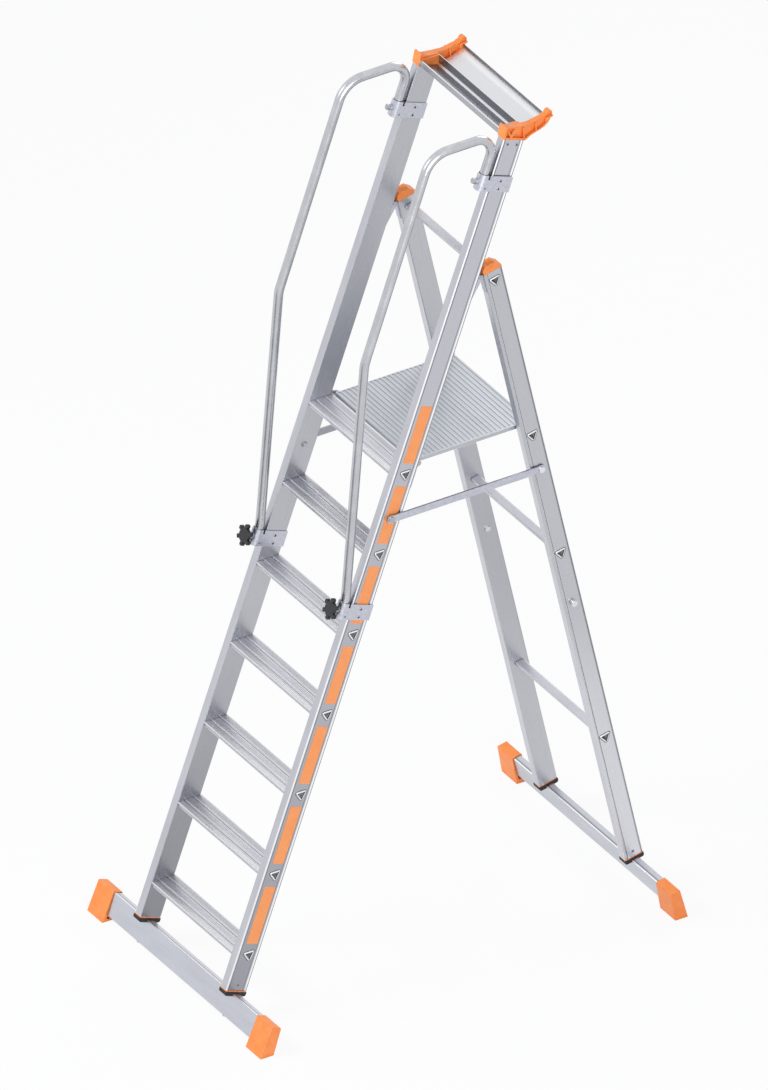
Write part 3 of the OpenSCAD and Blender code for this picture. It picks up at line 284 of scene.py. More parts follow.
# The outer web and the inner face of a stile or leg are told by their places, with this much to spare
FACE_SKIN_MM = 0.6
OUTER_FACE_MM = (SIDE_X + STILE_THICK / 2 - BEAD) / MM - FACE_SKIN_MM
INNER_FACE_MM = (SIDE_X - STILE_THICK / 2) / MM + FACE_SKIN_MM


def upright_faces(start, lean, deep, lines, long_mm, web, inner):
    """Paints bands, painted highlights and shade among them, on the stiles' or legs' outer and inner faces.
    """
    def dress(tree, shader, skin):
        across, depth, length = axes_mm(tree, start, lean)
        outside = reach(tree, across, "GREATER_THAN", OUTER_FACE_MM)
        inside = reach(tree, across, "LESS_THAN", INNER_FACE_MM)
        skin = bands(tree, length, long_mm, skin, web, outside)
        skin = bands(tree, length, long_mm, skin, inner, inside)
        return bands(tree, depth, deep / MM, skin, lines, outside)

    return dress


# The stabiliser bars' top: a painted highlight along its front edge, then a flat in painted shade
BAR_THICK_MM, BAR_TOP_SKIN_MM = 25.0, 0.3
BAR_BANDS = [
    (0.0, PAINTED_HIGHLIGHT, 1), (4.4, PAINTED_HIGHLIGHT, 1), (5.0, PAINTED_SHADE, 0.9),
    (8.0, PAINTED_SHADE, 0.8), (12.0, PALE, 0.5), (BAR_THICK_MM, PALE, 0.5),
]


def bar_top(node, start, lean):
    """Paints the highlight and shade bands on the top of one stabiliser bar, which leans with its frame."""
    place = in_frame(start, lean)
    points = [place.inverted() @ v.co for v in nodes[node].data.vertices]
    edge = place @ Vector((0, min(p.y for p in points), max(p.z for p in points)))

    def dress(tree, shader, skin):
        depth, height = axes_mm(tree, edge, lean)[1:]
        top = put(tree, "ShaderNodeMath", {"operation": "GREATER_THAN"}, {0: height, 1: -BAR_TOP_SKIN_MM})
        return bands(tree, depth, BAR_THICK_MM, skin, BAR_BANDS, top.outputs[0])

    return dress


# Inside the stiles the bore of the tread tubes is oxidised to a dull grey that no longer mirrors
BORE_MM, BORE_BLEND_MM = 209.0, 1.0
BORE_GREY = "#C8C9CE"


def tube_bore(tree, shader, skin):
    across = axes_mm(tree, (0, 0, 0), 0.0)[0]
    far = put(tree, "ShaderNodeMath", {"operation": "ABSOLUTE"}, {0: across})
    bore = put(tree, "ShaderNodeMapRange", None, {
        "Value": far.outputs[0], "From Min": BORE_MM, "From Max": BORE_MM + BORE_BLEND_MM,
    })
    metal = put(tree, "ShaderNodeMath", {"operation": "SUBTRACT"}, {0: 1.0, 1: bore.outputs["Result"]})
    tree.links.new(metal.outputs[0], shader.inputs["Metallic"])
    return put(tree, "ShaderNodeMix", {"data_type": "RGBA"}, {
        "Factor": bore.outputs["Result"], "A": skin, "B": hex_colour(BORE_GREY),
    }).outputs["Result"]


# The treads' tops: a painted highlight on the front land, and the rear one a little darker
tread_low, tread_high = (Vector(v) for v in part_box("tread_1"))
TREAD_DEPTH_MM, TREAD_SKIN_MM, TREAD_HALF_MM = 76.5, 3.0, 12.0
PAINTED_LAND_HIGHLIGHT, REAR_LAND = "#F6F7F9", "#C4C5CB"
TREAD_BANDS = [
    (0.0, PAINTED_LAND_HIGHLIGHT, 0), (1.0, PAINTED_LAND_HIGHLIGHT, 0.3), (3.0, PAINTED_LAND_HIGHLIGHT, 1), (12.5, PAINTED_LAND_HIGHLIGHT, 1),
    (15.5, PAINTED_LAND_HIGHLIGHT, 0), (54.5, REAR_LAND, 0), (58.0, REAR_LAND, 1), (70.0, REAR_LAND, 1),
    (72.5, REAR_LAND, 0), (TREAD_DEPTH_MM, REAR_LAND, 0),
]


def tread_lands(tree, shader, skin):
    """Dresses every tread's top alike, by counting how many pitches a point lies above the first."""
    depth, height = axes_mm(tree, (0, tread_low.y, tread_high.z), 0.0)[1:]
    rise_mm = TREAD_PITCH / MM * math.cos(math.radians(FRONT_LEAN))
    going_mm = TREAD_PITCH / MM * math.sin(math.radians(FRONT_LEAN))
    count = put(tree, "ShaderNodeMath", {"operation": "ADD"}, {0: height, 1: TREAD_HALF_MM})
    count = put(tree, "ShaderNodeMath", {"operation": "DIVIDE"}, {0: count.outputs[0], 1: rise_mm})
    count = put(tree, "ShaderNodeMath", {"operation": "ROUND"}, {0: count.outputs[0]}).outputs[0]
    ahead = put(tree, "ShaderNodeMath", {"operation": "MULTIPLY"}, {0: count, 1: going_mm})
    along = put(tree, "ShaderNodeMath", {"operation": "SUBTRACT"}, {0: depth, 1: ahead.outputs[0]})
    climb = put(tree, "ShaderNodeMath", {"operation": "MULTIPLY"}, {0: count, 1: rise_mm})
    under = put(tree, "ShaderNodeMath", {"operation": "SUBTRACT"}, {0: climb.outputs[0], 1: height})
    top = put(tree, "ShaderNodeMath", {"operation": "LESS_THAN"}, {0: under.outputs[0], 1: TREAD_SKIN_MM})
    skin = bands(tree, along.outputs[0], TREAD_DEPTH_MM, skin, TREAD_BANDS, top.outputs[0])
    return tube_bore(tree, shader, skin)


# The tray from front to rear: lip, dull sloping trough, bright foot of the divider, floor, cove, rim
# Painted shade darkens the trough and the rim, and painted highlights brighten the divider's foot and the
# cove
tray_low = Vector(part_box("tray")[0])
TRAY_DEPTH_MM = 146.0
TRAY_BANDS = [
    (0.0, "#BBBCC2", 1), (0.4, "#BBBCC2", 1), (0.8, "#DCDDE1", 1), (4.2, "#DCDDE1", 1),
    (4.8, "#989AA0", 1), (53.4, "#A8AAB0", 1), (55.2, "#DEDFE3", 1), (59.0, "#DEDFE3", 1),
    (60.2, "#A2A4AA", 1), (60.8, "#A2A4AA", 1), (61.3, "#D8D9DD", 1), (64.0, "#DEDFE3", 1),
    (122.0, "#E0E1E5", 1), (132.0, "#F4F5F7", 1), (137.0, "#EAEBEE", 1), (142.6, "#BABBC0", 1),
    (143.6, "#75777D", 1), (TRAY_DEPTH_MM, "#75777D", 1),
]


def tray_lands(tree, shader, skin):
    depth = axes_mm(tree, tray_low, 0.0)[1]
    return bands(tree, depth, TRAY_DEPTH_MM, skin, TRAY_BANDS)


ALONG_X, ALONG_STILE, ALONG_LEG = (0, 90, 0), (-FRONT_LEAN, 0, 0), (REAR_LEAN, 0, 0)
stile_faces = upright_faces(
    front_start, -FRONT_LEAN, STILE_DEPTH, STILE_BANDS, STILE_LONG_MM, STILE_WEB, STILE_INSIDE,
)
leg_faces = upright_faces(
    rear_start, REAR_LEAN, LEG_DEPTH, LEG_BANDS, LEG_LONG_MM, LEG_WEB, LEG_INSIDE,
)
# Edges take the painted edge tone, a painted highlight unless given: muted on the stiles, painted shade on
# the legs
stile_aluminium = extruded_aluminium(
    "extruded_aluminium_stile", ALONG_STILE, dress=stile_faces, edge=("#C6C7CE", 1.2), corner_mm=4.0,
)
leg_aluminium = extruded_aluminium(
    "extruded_aluminium_leg", ALONG_LEG, "#D5D6DC", "#C7C8CF",
    dress=leg_faces, edge=("#74767D", 2.4), corner_mm=4.0,
)
front_bar_aluminium = extruded_aluminium(
    "extruded_aluminium_front_bar", ALONG_X, "#CED0D9", "#C2C4CD",
    dress=bar_top("front_crossbar", front_start, -FRONT_LEAN),
)
rear_bar_aluminium = extruded_aluminium(
    "extruded_aluminium_rear_bar", ALONG_X, "#CED0D9", "#C2C4CD",
    dress=bar_top("rear_crossbar", rear_start, REAR_LEAN),
)
rung_aluminium = extruded_aluminium(
    "extruded_aluminium_rung", ALONG_X, "#D0D1D8", "#C3C4CB", dress=tube_bore,
)
tread_aluminium = extruded_aluminium(
    "extruded_aluminium_tread", ALONG_X, "#DADBE1", "#CFD0D7", dress=tread_lands, corner_mm=2.0,
)
deck_aluminium = extruded_aluminium(
    "extruded_aluminium_deck", ALONG_X, "#C2C6CC", "#B6BAC0", rough=0.34,
)
tray_aluminium = extruded_aluminium(
    "extruded_aluminium_tray", ALONG_X, "#E2E3E8", "#D5D6DB", rough=0.36, dress=tray_lands, edge_and_corner_paint=False,
)


def mottled(name, stops, size_mm, rough, turn=(0, 0, 0), detail=3.0, lumps=0.55, dress=None, **sockets):
    """A finish whose colour and roughness both follow one noise, with cells of a real size."""
    mat, tree, shader = new_material(name, **sockets)
    cells = grain(tree, size_mm, turn, detail, lumps)
    skin = tone(tree, cells, stops)
    if dress:
        skin = dress(tree, shader, skin)
    tree.links.new(skin, shader.inputs["Base Color"])
    sheen(tree, shader, cells, *rough)
    return mat


# Drawn aluminium tube: smoother and brighter than the profiles, with a soft cloudy sheen.
tube_finish = mottled(
    "drawn_aluminium_tube", [(0.3, "#BDBEC3"), (0.55, "#C5C6CB"), (0.75, "#CDCED2")],
    size_mm=(22, 22, 60), rough=(0.2, 0.3), turn=ALONG_STILE, detail=4.0, Metallic=1.0,
)


# Zinc-plated steel sheet: a cool grey with a faint patchy bloom from the plating bath.
def plated_sheet(name, dress=None):
    return mottled(
        name, [(0.3, "#BABCC8"), (0.5, "#C6C8D3"), (0.72, "#D1D3DC")],
        size_mm=(9, 9, 9), rough=(0.3, 0.46), detail=5.0, lumps=0.6, dress=dress, Metallic=1.0,
    )


# The stays' inner faces, close to the stiles, get a darker painted shade
STAY_INNER_MM, STAY_SHADE = 245.2, "#A6A8B0"


def stay_faces(tree, shader, skin):
    across = axes_mm(tree, (0, 0, 0), 0.0)[0]
    return put(tree, "ShaderNodeMix", {"data_type": "RGBA"}, {
        "Factor": reach(tree, across, "LESS_THAN", STAY_INNER_MM), "A": skin, "B": hex_colour(STAY_SHADE),
    }).outputs["Result"]


sheet_finish = plated_sheet("zinc_plated_sheet")
stay_finish = plated_sheet("zinc_plated_stay", stay_faces)


# Bright zinc on turned and headed steel, with the studs in a paler copy as a painted highlight.
def plated_fastener(name, dark, light):
    return mottled(name, [(0.3, dark), (0.7, light)], size_mm=(4, 4, 4), rough=(0.24, 0.38), Metallic=1.0)


fastener_finish = plated_fastener("zinc_plated_fastener", "#A4A7AC", "#C2C5C9")
stud_finish = plated_fastener("zinc_plated_stud", "#DCDEE1", "#F0F1F3")

# Burnished aluminium of the tubes' rolled rims: the forming tool burnishes it, and its near-white tone adds
# a painted highlight.
rim_finish = mottled(
    "burnished_aluminium_rim", [(0.3, "#EDEDF0"), (0.7, "#FBFBFC")],
    size_mm=(3, 3, 3), rough=(0.26, 0.4), Metallic=1.0,
)

# Dark matt grey as painted shade: the tubes' mouths inside and the dark ring round the foot of their rims.
mouth_finish = mottled(
    "mouth_painted_shade", [(0.3, "#5C5E64"), (0.7, "#74767C")],
    size_mm=(4, 4, 4), rough=(0.6, 0.75), detail=4.0, Metallic=0.0, IOR=1.45,
)

# Broken steel mandrel in a blind rivet, near black as painted shade in the hollow: rough and without shine.
mandrel_finish = mottled(
    "broken_steel_mandrel", [(0.3, "#2B2D33"), (0.7, "#43464E")],
    size_mm=(0.8, 0.8, 0.8), rough=(0.6, 0.8), Metallic=0.0,
)

# Black rubber: dead matt, a little dusty.
rubber_finish = mottled(
    "black_rubber", [(0.35, "#232326"), (0.7, "#37373B")],
    size_mm=(7, 7, 7), rough=(0.72, 0.88), detail=5.0, IOR=1.52,
)

# Printed vinyl film, left bare: an even orange with a soft gloss and small unevenness.
film_finish = mottled(
    "orange_vinyl_film", [(0.3, "#FF9B57"), (0.7, "#FFA361")],
    size_mm=(40, 40, 40), rough=(0.3, 0.4), IOR=1.5,
)


# Moulded polypropylene in a warm orange: satin, with a fine spark-eroded mould grain, painted highlights on
# edges and painted shade in corners. The grain is about 0.3 mm in life, drawn at 1 mm so that it shows.
def moulded_orange():
    mat, tree, shader = new_material("moulded_orange_polypropylene", IOR=1.49)
    clouds = grain(tree, size_mm=(26, 26, 26), detail=4.0)
    skin = tone(tree, clouds, [(0.3, "#FC8B3E"), (0.55, "#FF954D"), (0.78, "#FF9F5C")])
    paint_edges_and_corner_shade(tree, shader, skin, edge_paint="#FFB27C", corner_shade="#EC7614", edge_mm=1.2, corner_mm=10.0)
    fine = grain(tree, size_mm=(1, 1, 1), detail=2.0)
    sheen(tree, shader, fine, low=0.38, high=0.52)
    relief(tree, shader, fine, height_mm=0.06, strength=0.5)
    return mat


# Glass-filled nylon of the knobs: black with a low sheen and a fine moulded grain.
def moulded_black():
    mat, tree, shader = new_material("black_moulded_nylon", IOR=1.53)
    clouds = grain(tree, size_mm=(14, 14, 14))
    skin = tone(tree, clouds, [(0.35, "#17161A"), (0.7, "#211F25")])
    tree.links.new(skin, shader.inputs["Base Color"])
    fine = grain(tree, size_mm=(0.9, 0.9, 0.9), detail=2.0)
    sheen(tree, shader, fine, low=0.4, high=0.56)
    relief(tree, shader, fine, height_mm=0.05, strength=0.5)
    return mat


orange_finish = moulded_orange()
knob_finish = moulded_black()

# Which finish a CAD node wears: that of the first row with a word of the node's name
FINISHES = [
    (orange_finish, ("foot", "plugs", "tray_bracket", "leg_cap")),
    (rubber_finish, ("pads",)),
    (knob_finish, ("star_knob",)),
    (tube_finish, ("handrail",)),
    (stay_finish, ("stay_left", "stay_right")),
    (sheet_finish, ("clamp_left", "clamp_right", "hinge_left", "hinge_right", "platform_bracket")),
    (stud_finish, ("studs",)),
    (fastener_finish, ("bolts", "rivets", "pins", "pivots")),
    (stile_aluminium, ("front_stile",)),
    (leg_aluminium, ("rear_leg",)),
    (deck_aluminium, ("platform_deck", "platform_side")),
    (tray_aluminium, ("tray",)),
    (tread_aluminium, ("tread",)),
    (rung_aluminium, ("rung",)),
    (front_bar_aluminium, ("front_crossbar",)),
    (rear_bar_aluminium, ("rear_crossbar",)),
]
for name, obj in nodes.items():
    finish = next(row[0] for row in FINISHES if any(word in name for word in row[1]))
    obj.data.materials.clear()
    obj.data.materials.append(finish)

# Points nearer together than this are one, and a face looks straight along an axis from this cosine up
SAME = 0.01 * MM
STRAIGHT = 0.99


# Modelling helpers
def start_piece(name, kind, **sizes):
    """Adds a primitive with nothing else selected, and names it."""
    bpy.ops.object.select_all(action="DESELECT")
    getattr(bpy.ops.mesh, "primitive_" + kind + "_add")(**sizes)
    obj = bpy.context.object
    obj.name = name
    obj.data.name = name
    return obj


def pick(obj, mode, chosen):
    """Selects the elements of one kind that the test chooses, in edit mode."""
    bpy.ops.object.mode_set(mode="EDIT")
    bpy.ops.mesh.select_mode(type=mode)
    bpy.ops.mesh.select_all(action="DESELECT")
    mesh = bmesh.from_edit_mesh(obj.data)
    for part in {"EDGE": mesh.edges, "FACE": mesh.faces}[mode]:
        part.select_set(bool(chosen(part)))
    mesh.select_flush_mode()
    bmesh.update_edit_mesh(obj.data)


def raise_picked(height):
    """Extrudes the selected faces along Z."""
    bpy.ops.mesh.extrude_region_move(TRANSFORM_OT_translate={"value": (0, 0, height)})


def copy_to(name, pattern, place):
    """A copy of a modelled pattern with its own mesh, and its place in that mesh."""
    twin = pattern.copy()
    twin.data = pattern.data.copy()
    twin.data.transform(place)
    twin.name = name
    twin.data.name = name
    bpy.context.scene.collection.objects.link(twin)
    return twin


def settle(piece, body):
    """Gives a finished piece its body."""
    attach(piece, body)
    return piece


def set_copies(name, pattern, places, body):
    """Copies a modelled pattern to each place and joins the copies into one piece."""
    bpy.ops.object.select_all(action="DESELECT")
    copies = [copy_to(name, pattern, place) for place in places]
    for twin in copies:
        twin.select_set(True)
    bpy.context.view_layer.objects.active = copies[0]
    bpy.ops.object.join()
    joined = bpy.context.object
    joined.name = name
    joined.data.name = name
    bpy.data.objects.remove(pattern)
    return settle(joined, body)


def islands(node):
    """The separate groups of joined points of a CAD node, as lists of places."""
    mesh = bmesh.new()
    mesh.from_mesh(nodes[node].data)
    bmesh.ops.remove_doubles(mesh, verts=mesh.verts, dist=SAME)
    left = set(mesh.verts)
    groups = []
    while left:
        group = [left.pop()]
        for vert in group:
            fresh = {e.other_vert(vert) for e in vert.link_edges} & left
            left -= fresh
            group.extend(fresh)
        groups.append([v.co.copy() for v in group])
    mesh.free()
    return groups


# Bare film labels on the right stile's outer web
LABEL_LONG, LABEL_WIDE, LABEL_THICK = 178 * MM, 38 * MM, 0.3 * MM
LABEL_FIRST, LABEL_DEPTH = 235 * MM, 37 * MM
LABEL_CORNER, LABEL_CORNER_STEPS = 2.5 * MM, 4
LABEL_X = SIDE_X + STILE_THICK / 2 - BEAD + LABEL_THICK / 2
LABELS = 7


def bare_label():
    """One label with round corners, flat across X."""
    label = start_piece("bare_label", "cube", size=1.0)
    bpy.ops.transform.resize(value=(LABEL_THICK, LABEL_WIDE, LABEL_LONG))
    bpy.ops.object.transform_apply(location=False, rotation=False, scale=True)
    pick(label, "EDGE", lambda e: abs(e.verts[0].co.x - e.verts[1].co.x) > LABEL_THICK / 2)
    bpy.ops.mesh.bevel(offset=LABEL_CORNER, segments=LABEL_CORNER_STEPS, affect="EDGES")
    bpy.ops.object.mode_set(mode="OBJECT")
    label.data.materials.append(film_finish)
    return label


label_pattern = bare_label()
on_stile = in_frame(front_start, -FRONT_LEAN)
for i in range(LABELS):
    place = on_stile @ Matrix.Translation((LABEL_X, LABEL_DEPTH, LABEL_FIRST + i * TREAD_PITCH))
    settle(copy_to(f"label_{i + 1}", label_pattern, place), "front_frame")
bpy.data.objects.remove(label_pattern)

# Blind rivets: a flat dome with the hollow where the mandrel broke off, on each of the CAD's heads
HEAD_R, HEAD_T, HEAD_ROUND = 4.5 * MM, 1.6 * MM, 1.0 * MM
HEAD_SIDES, HEAD_ROUND_STEPS, HEAD_SMOOTH = 24, 4, math.radians(40)
HOLLOW_R, HOLLOW_DEEP = 3.0 * MM, 0.9 * MM
SHANK_R, SHANK_LONG = 2.3 * MM, 1.5 * MM


def rivet_places(node):
    """Turns and moves a rivet along Z to each of a CAD node's rivets, head outwards."""
    found = []
    for group in islands(node):
        low_x, high_x = min(p.x for p in group), max(p.x for p in group)
        y = (min(p.y for p in group) + max(p.y for p in group)) / 2
        z = (min(p.z for p in group) + max(p.z for p in group)) / 2
        widest = max(group, key=lambda p: math.hypot(p.y - y, p.z - z))
        facing = 1 if widest.x > (low_x + high_x) / 2 else -1
        seat = high_x - HEAD_T if facing > 0 else low_x + HEAD_T
        found.append((round(seat, 6), round(y, 6), round(z, 6), facing))
    return [
        Matrix.Translation((seat, y, z)) @ Matrix.Rotation(math.radians(90 * facing), 4, "Y")
        for seat, y, z, facing in sorted(found)
    ]


def blind_rivet():
    """One blind rivet along Z, its seat at zero."""
    head = start_piece(
        "blind_rivet", "cylinder", vertices=HEAD_SIDES, radius=HEAD_R, depth=HEAD_T,
        location=(0, 0, HEAD_T / 2),
    )
    bpy.ops.object.transform_apply(location=True, rotation=False, scale=False)
    pick(head, "EDGE", lambda e: all(v.co.z > HEAD_T - SAME for v in e.verts))
    bpy.ops.mesh.bevel(offset=HEAD_ROUND, segments=HEAD_ROUND_STEPS, affect="EDGES")
    pick(head, "FACE", lambda f: f.normal.z > STRAIGHT)
    bpy.ops.mesh.inset(thickness=HEAD_R - HEAD_ROUND - HOLLOW_R)
    raise_picked(-HOLLOW_DEEP)
    pick(head, "FACE", lambda f: f.normal.z < -STRAIGHT)
    bpy.ops.mesh.inset(thickness=HEAD_R - SHANK_R)
    raise_picked(-SHANK_LONG)
    bpy.ops.object.mode_set(mode="OBJECT")
    bpy.ops.object.shade_smooth_by_angle(angle=HEAD_SMOOTH)
    head.data.materials.append(fastener_finish)
    head.data.materials.append(mandrel_finish)
    for face in head.data.polygons:
        if face.center.z > 0 and face.center.xy.length < HOLLOW_R + SAME:
            face.material_index = 1
    return head


for end, body in (("front", "front_frame"), ("rear", "rear_frame")):
    places = rivet_places(f"{end}_rivets")
    rivets = set_copies(f"{end}_blind_rivets", blind_rivet(), places, body)
    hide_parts(f"{end}_rivets")

# Rolled rims of the triangular tubes: a bright cone to a thin crest, and a ring of painted shade round its
# foot
TUBE_SIDE, TUBE_WALL, TUBE_R = 34 * MM, 2.2 * MM, 4 * MM
SHADE_RING_WIDE, SHADE_RING_T = 2.0 * MM, 0.3 * MM
RIM_OUT, RIM_LINING = 1.7 * MM, 0.2 * MM
RIM_PROUD, RIM_DEEP = 2.6 * MM, 1.6 * MM
RIM_CONE, RIM_INNER_ROUND = 2.1 * MM, 0.4 * MM
RIM_CORNER_STEPS, RIM_CONE_STEPS, RIM_INNER_STEPS = 8, 3, 2
RIM_SMOOTH = math.radians(35)
FLARE_T, FLARE_SLACK = 1.2 * MM, 0.05 * MM
LOOKS_UP = 0.5
ROOT3 = math.sqrt(3)
# The directions in which the triangle's sides face
SIDE_TURNS = [math.radians(a) for a in (60, 180, 300)]
TREADS = 6


def rolled_rim():
    """One rim along Z round a triangle with a corner on +X, its seat at zero."""
    wide = RIM_OUT + SHADE_RING_WIDE
    thick = TUBE_WALL + RIM_LINING
    rim = start_piece(
        "rolled_rim", "cylinder", vertices=3, radius=(TUBE_SIDE + 2 * ROOT3 * wide) / ROOT3,
        depth=SHADE_RING_T + RIM_DEEP, location=(0, 0, (SHADE_RING_T - RIM_DEEP) / 2), rotation=(0, 0, -math.pi / 2),
    )
    bpy.ops.object.transform_apply(location=True, rotation=True, scale=False)
    pick(rim, "EDGE", lambda e: abs(e.verts[0].co.z - e.verts[1].co.z) > RIM_DEEP)
    bpy.ops.mesh.bevel(offset=ROOT3 * (TUBE_R + wide), segments=RIM_CORNER_STEPS, affect="EDGES")
    pick(rim, "FACE", lambda f: f.normal.z > STRAIGHT)
    bpy.ops.mesh.inset(thickness=SHADE_RING_WIDE)
    raise_picked(RIM_PROUD - SHADE_RING_T)
    bpy.ops.mesh.inset(thickness=RIM_OUT + thick)
    pick(rim, "FACE", lambda f: f.normal.z < -STRAIGHT)
    bpy.ops.mesh.inset(thickness=wide + thick)
    pick(rim, "FACE", lambda f: abs(f.normal.z) > STRAIGHT and f.calc_center_median().xy.length < TUBE_WALL)
    bpy.ops.mesh.bridge_edge_loops()
    bpy.ops.mesh.select_all(action="SELECT")
    bpy.ops.mesh.normals_make_consistent(inside=False)
    # The middle of the crest lies this far out from the triangle's centre
    inscribed = TUBE_SIDE / (2 * ROOT3)
    middle_out = inscribed + (RIM_OUT / 2 - TUBE_R / 2 - thick) / 2

    def crest(edge, outer):
        """Whether an edge lies on the crest's outer or inner line."""
        if any(v.co.z < RIM_PROUD - SAME for v in edge.verts):
            return False
        if min(f.normal.z for f in edge.link_faces) > LOOKS_UP:
            return False
        middle = (edge.verts[0].co + edge.verts[1].co) / 2
        out = max(middle.x * math.cos(a) + middle.y * math.sin(a) for a in SIDE_TURNS)
        return (out > middle_out) == outer

    pick(rim, "EDGE", lambda e: crest(e, True))
    bpy.ops.mesh.bevel(offset=RIM_CONE, segments=RIM_CONE_STEPS, affect="EDGES")
    pick(rim, "EDGE", lambda e: crest(e, False))
    bpy.ops.mesh.bevel(offset=RIM_INNER_ROUND, segments=RIM_INNER_STEPS, affect="EDGES")
    bpy.ops.object.mode_set(mode="OBJECT")
    bpy.ops.object.shade_smooth_by_angle(angle=RIM_SMOOTH)
    rim.data.materials.append(rim_finish)
    rim.data.materials.append(mouth_finish)
    # The shade ring and the inward faces take the dark painted shade
    for face in rim.data.polygons:
        inward = face.normal.xy.dot(face.center.xy) < 0
        if face.center.z < SHADE_RING_T + SAME or inward:
            face.material_index = 1
    return rim


def rim_places(names):
    """Turns and moves a rim to both ends of each tube, read from the corners of the CAD's flares."""
    found = []
    for name in names:
        low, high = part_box(name)
        for end, facing in ((low[0], -1), (high[0], 1)):
            points = [v.co for v in nodes[name].data.vertices if abs(v.co.x - end) < FLARE_SLACK]
            spots = sorted({(round(p.y, 6), round(p.z, 6)) for p in points})
            y = sum(p[0] for p in spots) / len(spots)
            z = sum(p[1] for p in spots) / len(spots)
            # Cubed, the directions of the three corners agree, and the farthest points count most
            arms = [complex(p[0] - y, p[1] - z) for p in spots]
            turn = sum((abs(arm) * arm) ** 3 for arm in arms)
            lean = math.atan2(turn.imag, turn.real) / 3
            found.append((end - facing * FLARE_T, y, z, lean, facing))
    return [
        Matrix.Translation((seat, y, z))
        @ Matrix.Rotation(lean, 4, "X")
        @ Matrix(((0, 0, facing, 0), (1, 0, 0, 0), (0, facing, 0, 0), (0, 0, 0, 1)))
        for seat, y, z, lean, facing in found
    ]


front_tubes = [f"tread_{i + 1}" for i in range(TREADS)] + ["platform_tread"]
rear_tubes = [f"rear_rung_{place}" for place in ("top", "platform", "middle", "lower")]
set_copies("front_tube_rims", rolled_rim(), rim_places(front_tubes), "front_frame")
set_copies("rear_tube_rims", rolled_rim(), rim_places(rear_tubes), "rear_frame")

# Studio: white surround, pale floor, soft lamps
WHITE = (1, 1, 1, 1)
AMBIENT_STRENGTH, SURROUND_STRENGTH = 0.42, 1.0
FLOOR_SIZE, FLOOR_DROP = 30.0, 0.5 * MM
FLOOR_GLOW_SHARE = 0.9


def looking_rays(tree):
    """1 for camera, glossy and transmission rays, which see the white surround, and 0 for the others."""
    path = put(tree, "ShaderNodeLightPath").outputs
    seen = put(tree, "ShaderNodeMath", {"operation": "MAXIMUM"}, {
        0: path["Is Camera Ray"], 1: path["Is Glossy Ray"],
    })
    return put(tree, "ShaderNodeMath", {"operation": "MAXIMUM"}, {
        0: seen.outputs[0], 1: path["Is Transmission Ray"],
    }).outputs[0]


def white_surround():
    """A world that looks white and lights the part more weakly than it looks."""
    world = bpy.data.worlds.new("studio")
    world.use_nodes = True
    tree = world.node_tree
    tree.nodes.clear()
    ambient = put(tree, "ShaderNodeBackground", None, {
        "Color": hex_colour("#F4F6FA"), "Strength": AMBIENT_STRENGTH,
    })
    surround = put(tree, "ShaderNodeBackground", None, {"Color": WHITE, "Strength": SURROUND_STRENGTH})
    blend = put(tree, "ShaderNodeMixShader", None, {
        "Fac": looking_rays(tree), 1: ambient.outputs[0], 2: surround.outputs[0],
    })
    put(tree, "ShaderNodeOutputWorld", None, {"Surface": blend.outputs[0]})
    return world


# The metal also mirrors the grey studio floor before and behind the white sheet that the part stands
# on. Each pair of places, in metres, has no grey at the first and full grey at the second.
SHEET_MIDDLE_X = 0.3
GREY_ASIDE, GREY_AHEAD, GREY_BEHIND = (1.25, 0.85), (-1.6, -2.0), (1.1, 1.5)
GREY_STRENGTH = 0.35


def grey_mirrored(tree):
    """How strongly the floor glows: less where a glossy ray meets the grey floor off the sheet."""
    coord = put(tree, "ShaderNodeTexCoord")
    spot = put(tree, "ShaderNodeSeparateXYZ", None, {"Vector": coord.outputs["Object"]}).outputs
    aside = put(tree, "ShaderNodeMath", {"operation": "SUBTRACT"}, {0: spot["X"], 1: SHEET_MIDDLE_X})
    aside = put(tree, "ShaderNodeMath", {"operation": "ABSOLUTE"}, {0: aside.outputs[0]})
    zones = []
    for place, (start, full) in (
        (aside.outputs[0], GREY_ASIDE), (spot["Y"], GREY_AHEAD), (spot["Y"], GREY_BEHIND),
    ):
        zone = put(tree, "ShaderNodeMapRange", None, {"Value": place, "From Min": start, "From Max": full})
        zones.append(zone.outputs["Result"])
    near, ahead, behind = zones
    off_sheet = put(tree, "ShaderNodeMath", {"operation": "MAXIMUM"}, {0: ahead, 1: behind})
    off_sheet = put(tree, "ShaderNodeMath", {"operation": "MULTIPLY"}, {0: off_sheet.outputs[0], 1: near})
    mirrored = put(tree, "ShaderNodeMath", {"operation": "MULTIPLY"}, {
        0: off_sheet.outputs[0], 1: put(tree, "ShaderNodeLightPath").outputs["Is Glossy Ray"],
    })
    return put(tree, "ShaderNodeMapRange", None, {
        "Value": mirrored.outputs[0], "To Min": 1.0, "To Max": GREY_STRENGTH,
    }).outputs[0]


# Matt white paper sheet: nearly as bright as the surround, so that only soft shadows show on it.
def pale_floor():
    mat = bpy.data.materials.new("pale_floor")
    mat.use_nodes = True
    tree = mat.node_tree
    tree.nodes.clear()
    share = put(tree, "ShaderNodeMath", {"operation": "MULTIPLY"}, {
        0: looking_rays(tree), 1: FLOOR_GLOW_SHARE,
    })
    matt = put(tree, "ShaderNodeBsdfDiffuse", None, {"Color": hex_colour("#EDEEF0")})
    glow = put(tree, "ShaderNodeEmission", None, {"Color": WHITE, "Strength": grey_mirrored(tree)})
    mixed = put(tree, "ShaderNodeMixShader", None, {
        "Fac": share.outputs[0], 1: matt.outputs[0], 2: glow.outputs[0],
    })
    put(tree, "ShaderNodeOutputMaterial", None, {"Surface": mixed.outputs[0]})
    return mat


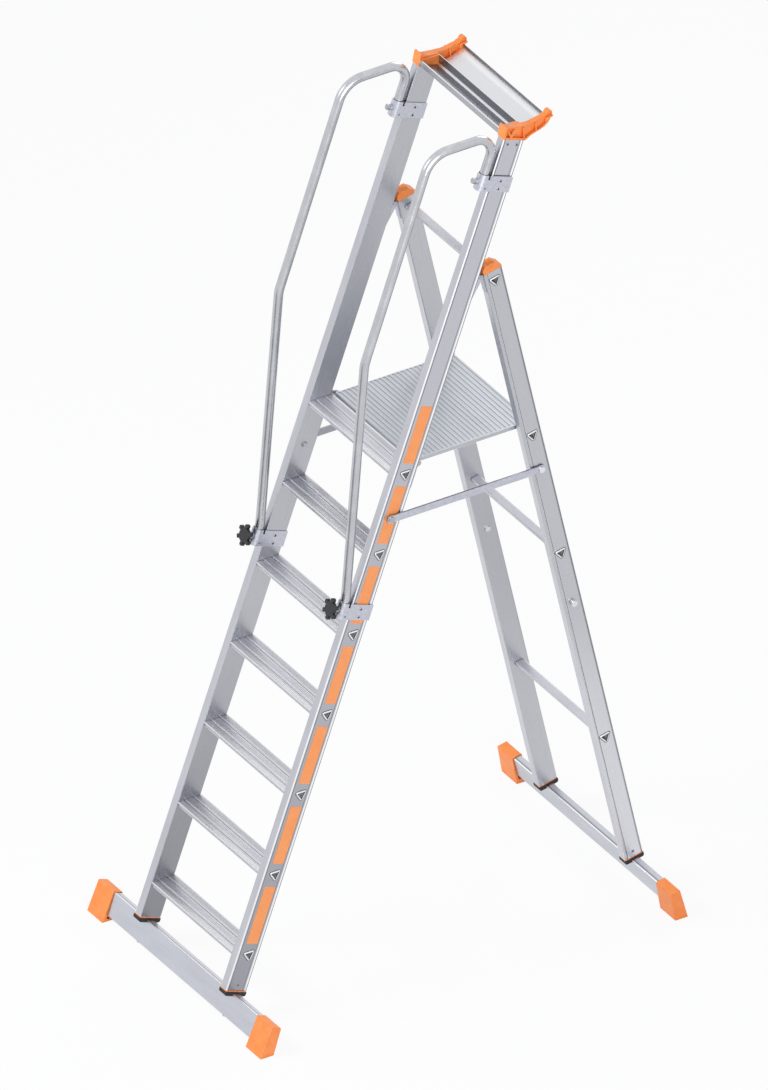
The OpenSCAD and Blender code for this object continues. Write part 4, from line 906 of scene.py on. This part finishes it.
bpy.context.scene.world = white_surround()
floor = start_piece("studio_floor", "plane", size=FLOOR_SIZE)
floor.data.transform(Matrix.Translation((0, 0, -FLOOR_DROP)))
floor.data.materials.append(pale_floor())

LAMP_AIM, BACK_AIM = (0, 0, 1.2), (0, 0, 1.3)
KEY_SPOT, SIDE_SPOT, BACK_SPOT = (-1.8, -5.0, 5.6), (5.5, -1.5, 3.4), (-2.5, 4.5, 4.5)
KEY_SIZE, LAMP_SIZE = 3.5, 3.0


def soft_lamp(name, spot, aim, size, watts, mirrored=True):
    """An area lamp. One that isn't mirrored lights the matt surfaces without a glare on the metal."""
    lamp = bpy.data.lights.new(name, "AREA")
    lamp.size = size
    lamp.energy = watts
    obj = bpy.data.objects.new(name, lamp)
    obj.location = spot
    obj.rotation_euler = (Vector(aim) - Vector(spot)).to_track_quat("-Z", "Y").to_euler()
    obj.visible_glossy = mirrored
    bpy.context.scene.collection.objects.link(obj)


soft_lamp("key_lamp", KEY_SPOT, LAMP_AIM, KEY_SIZE, watts=50)
soft_lamp("key_fill", KEY_SPOT, LAMP_AIM, KEY_SIZE, watts=250, mirrored=False)
soft_lamp("side_lamp", SIDE_SPOT, LAMP_AIM, LAMP_SIZE, watts=150)
soft_lamp("back_lamp", BACK_SPOT, BACK_AIM, LAMP_SIZE, watts=80)

# Camera: a parallel view, because the photo shows no perspective to speak of
SPAN = 3.028
AZIMUTH, ELEVATION = math.radians(58.06), math.radians(32.5)
AIM = Vector((0.0, -0.0115, 1.217))
CAMERA_FAR, CLIP_FAR = 12.0, 100.0
away = Vector((
    math.cos(ELEVATION) * math.sin(AZIMUTH),
    -math.cos(ELEVATION) * math.cos(AZIMUTH),
    math.sin(ELEVATION),
))
camera = bpy.data.cameras.new("studio_camera")
camera.type = "ORTHO"
camera.sensor_fit = "VERTICAL"
camera.ortho_scale = SPAN
camera.clip_end = CLIP_FAR
camera_obj = bpy.data.objects.new("studio_camera", camera)
camera_obj.location = AIM + away * CAMERA_FAR
camera_obj.rotation_euler = away.to_track_quat("Z", "Y").to_euler()
bpy.context.scene.collection.objects.link(camera_obj)
bpy.context.scene.camera = camera_obj
bpy.context.scene.view_settings.view_transform = "Standard"
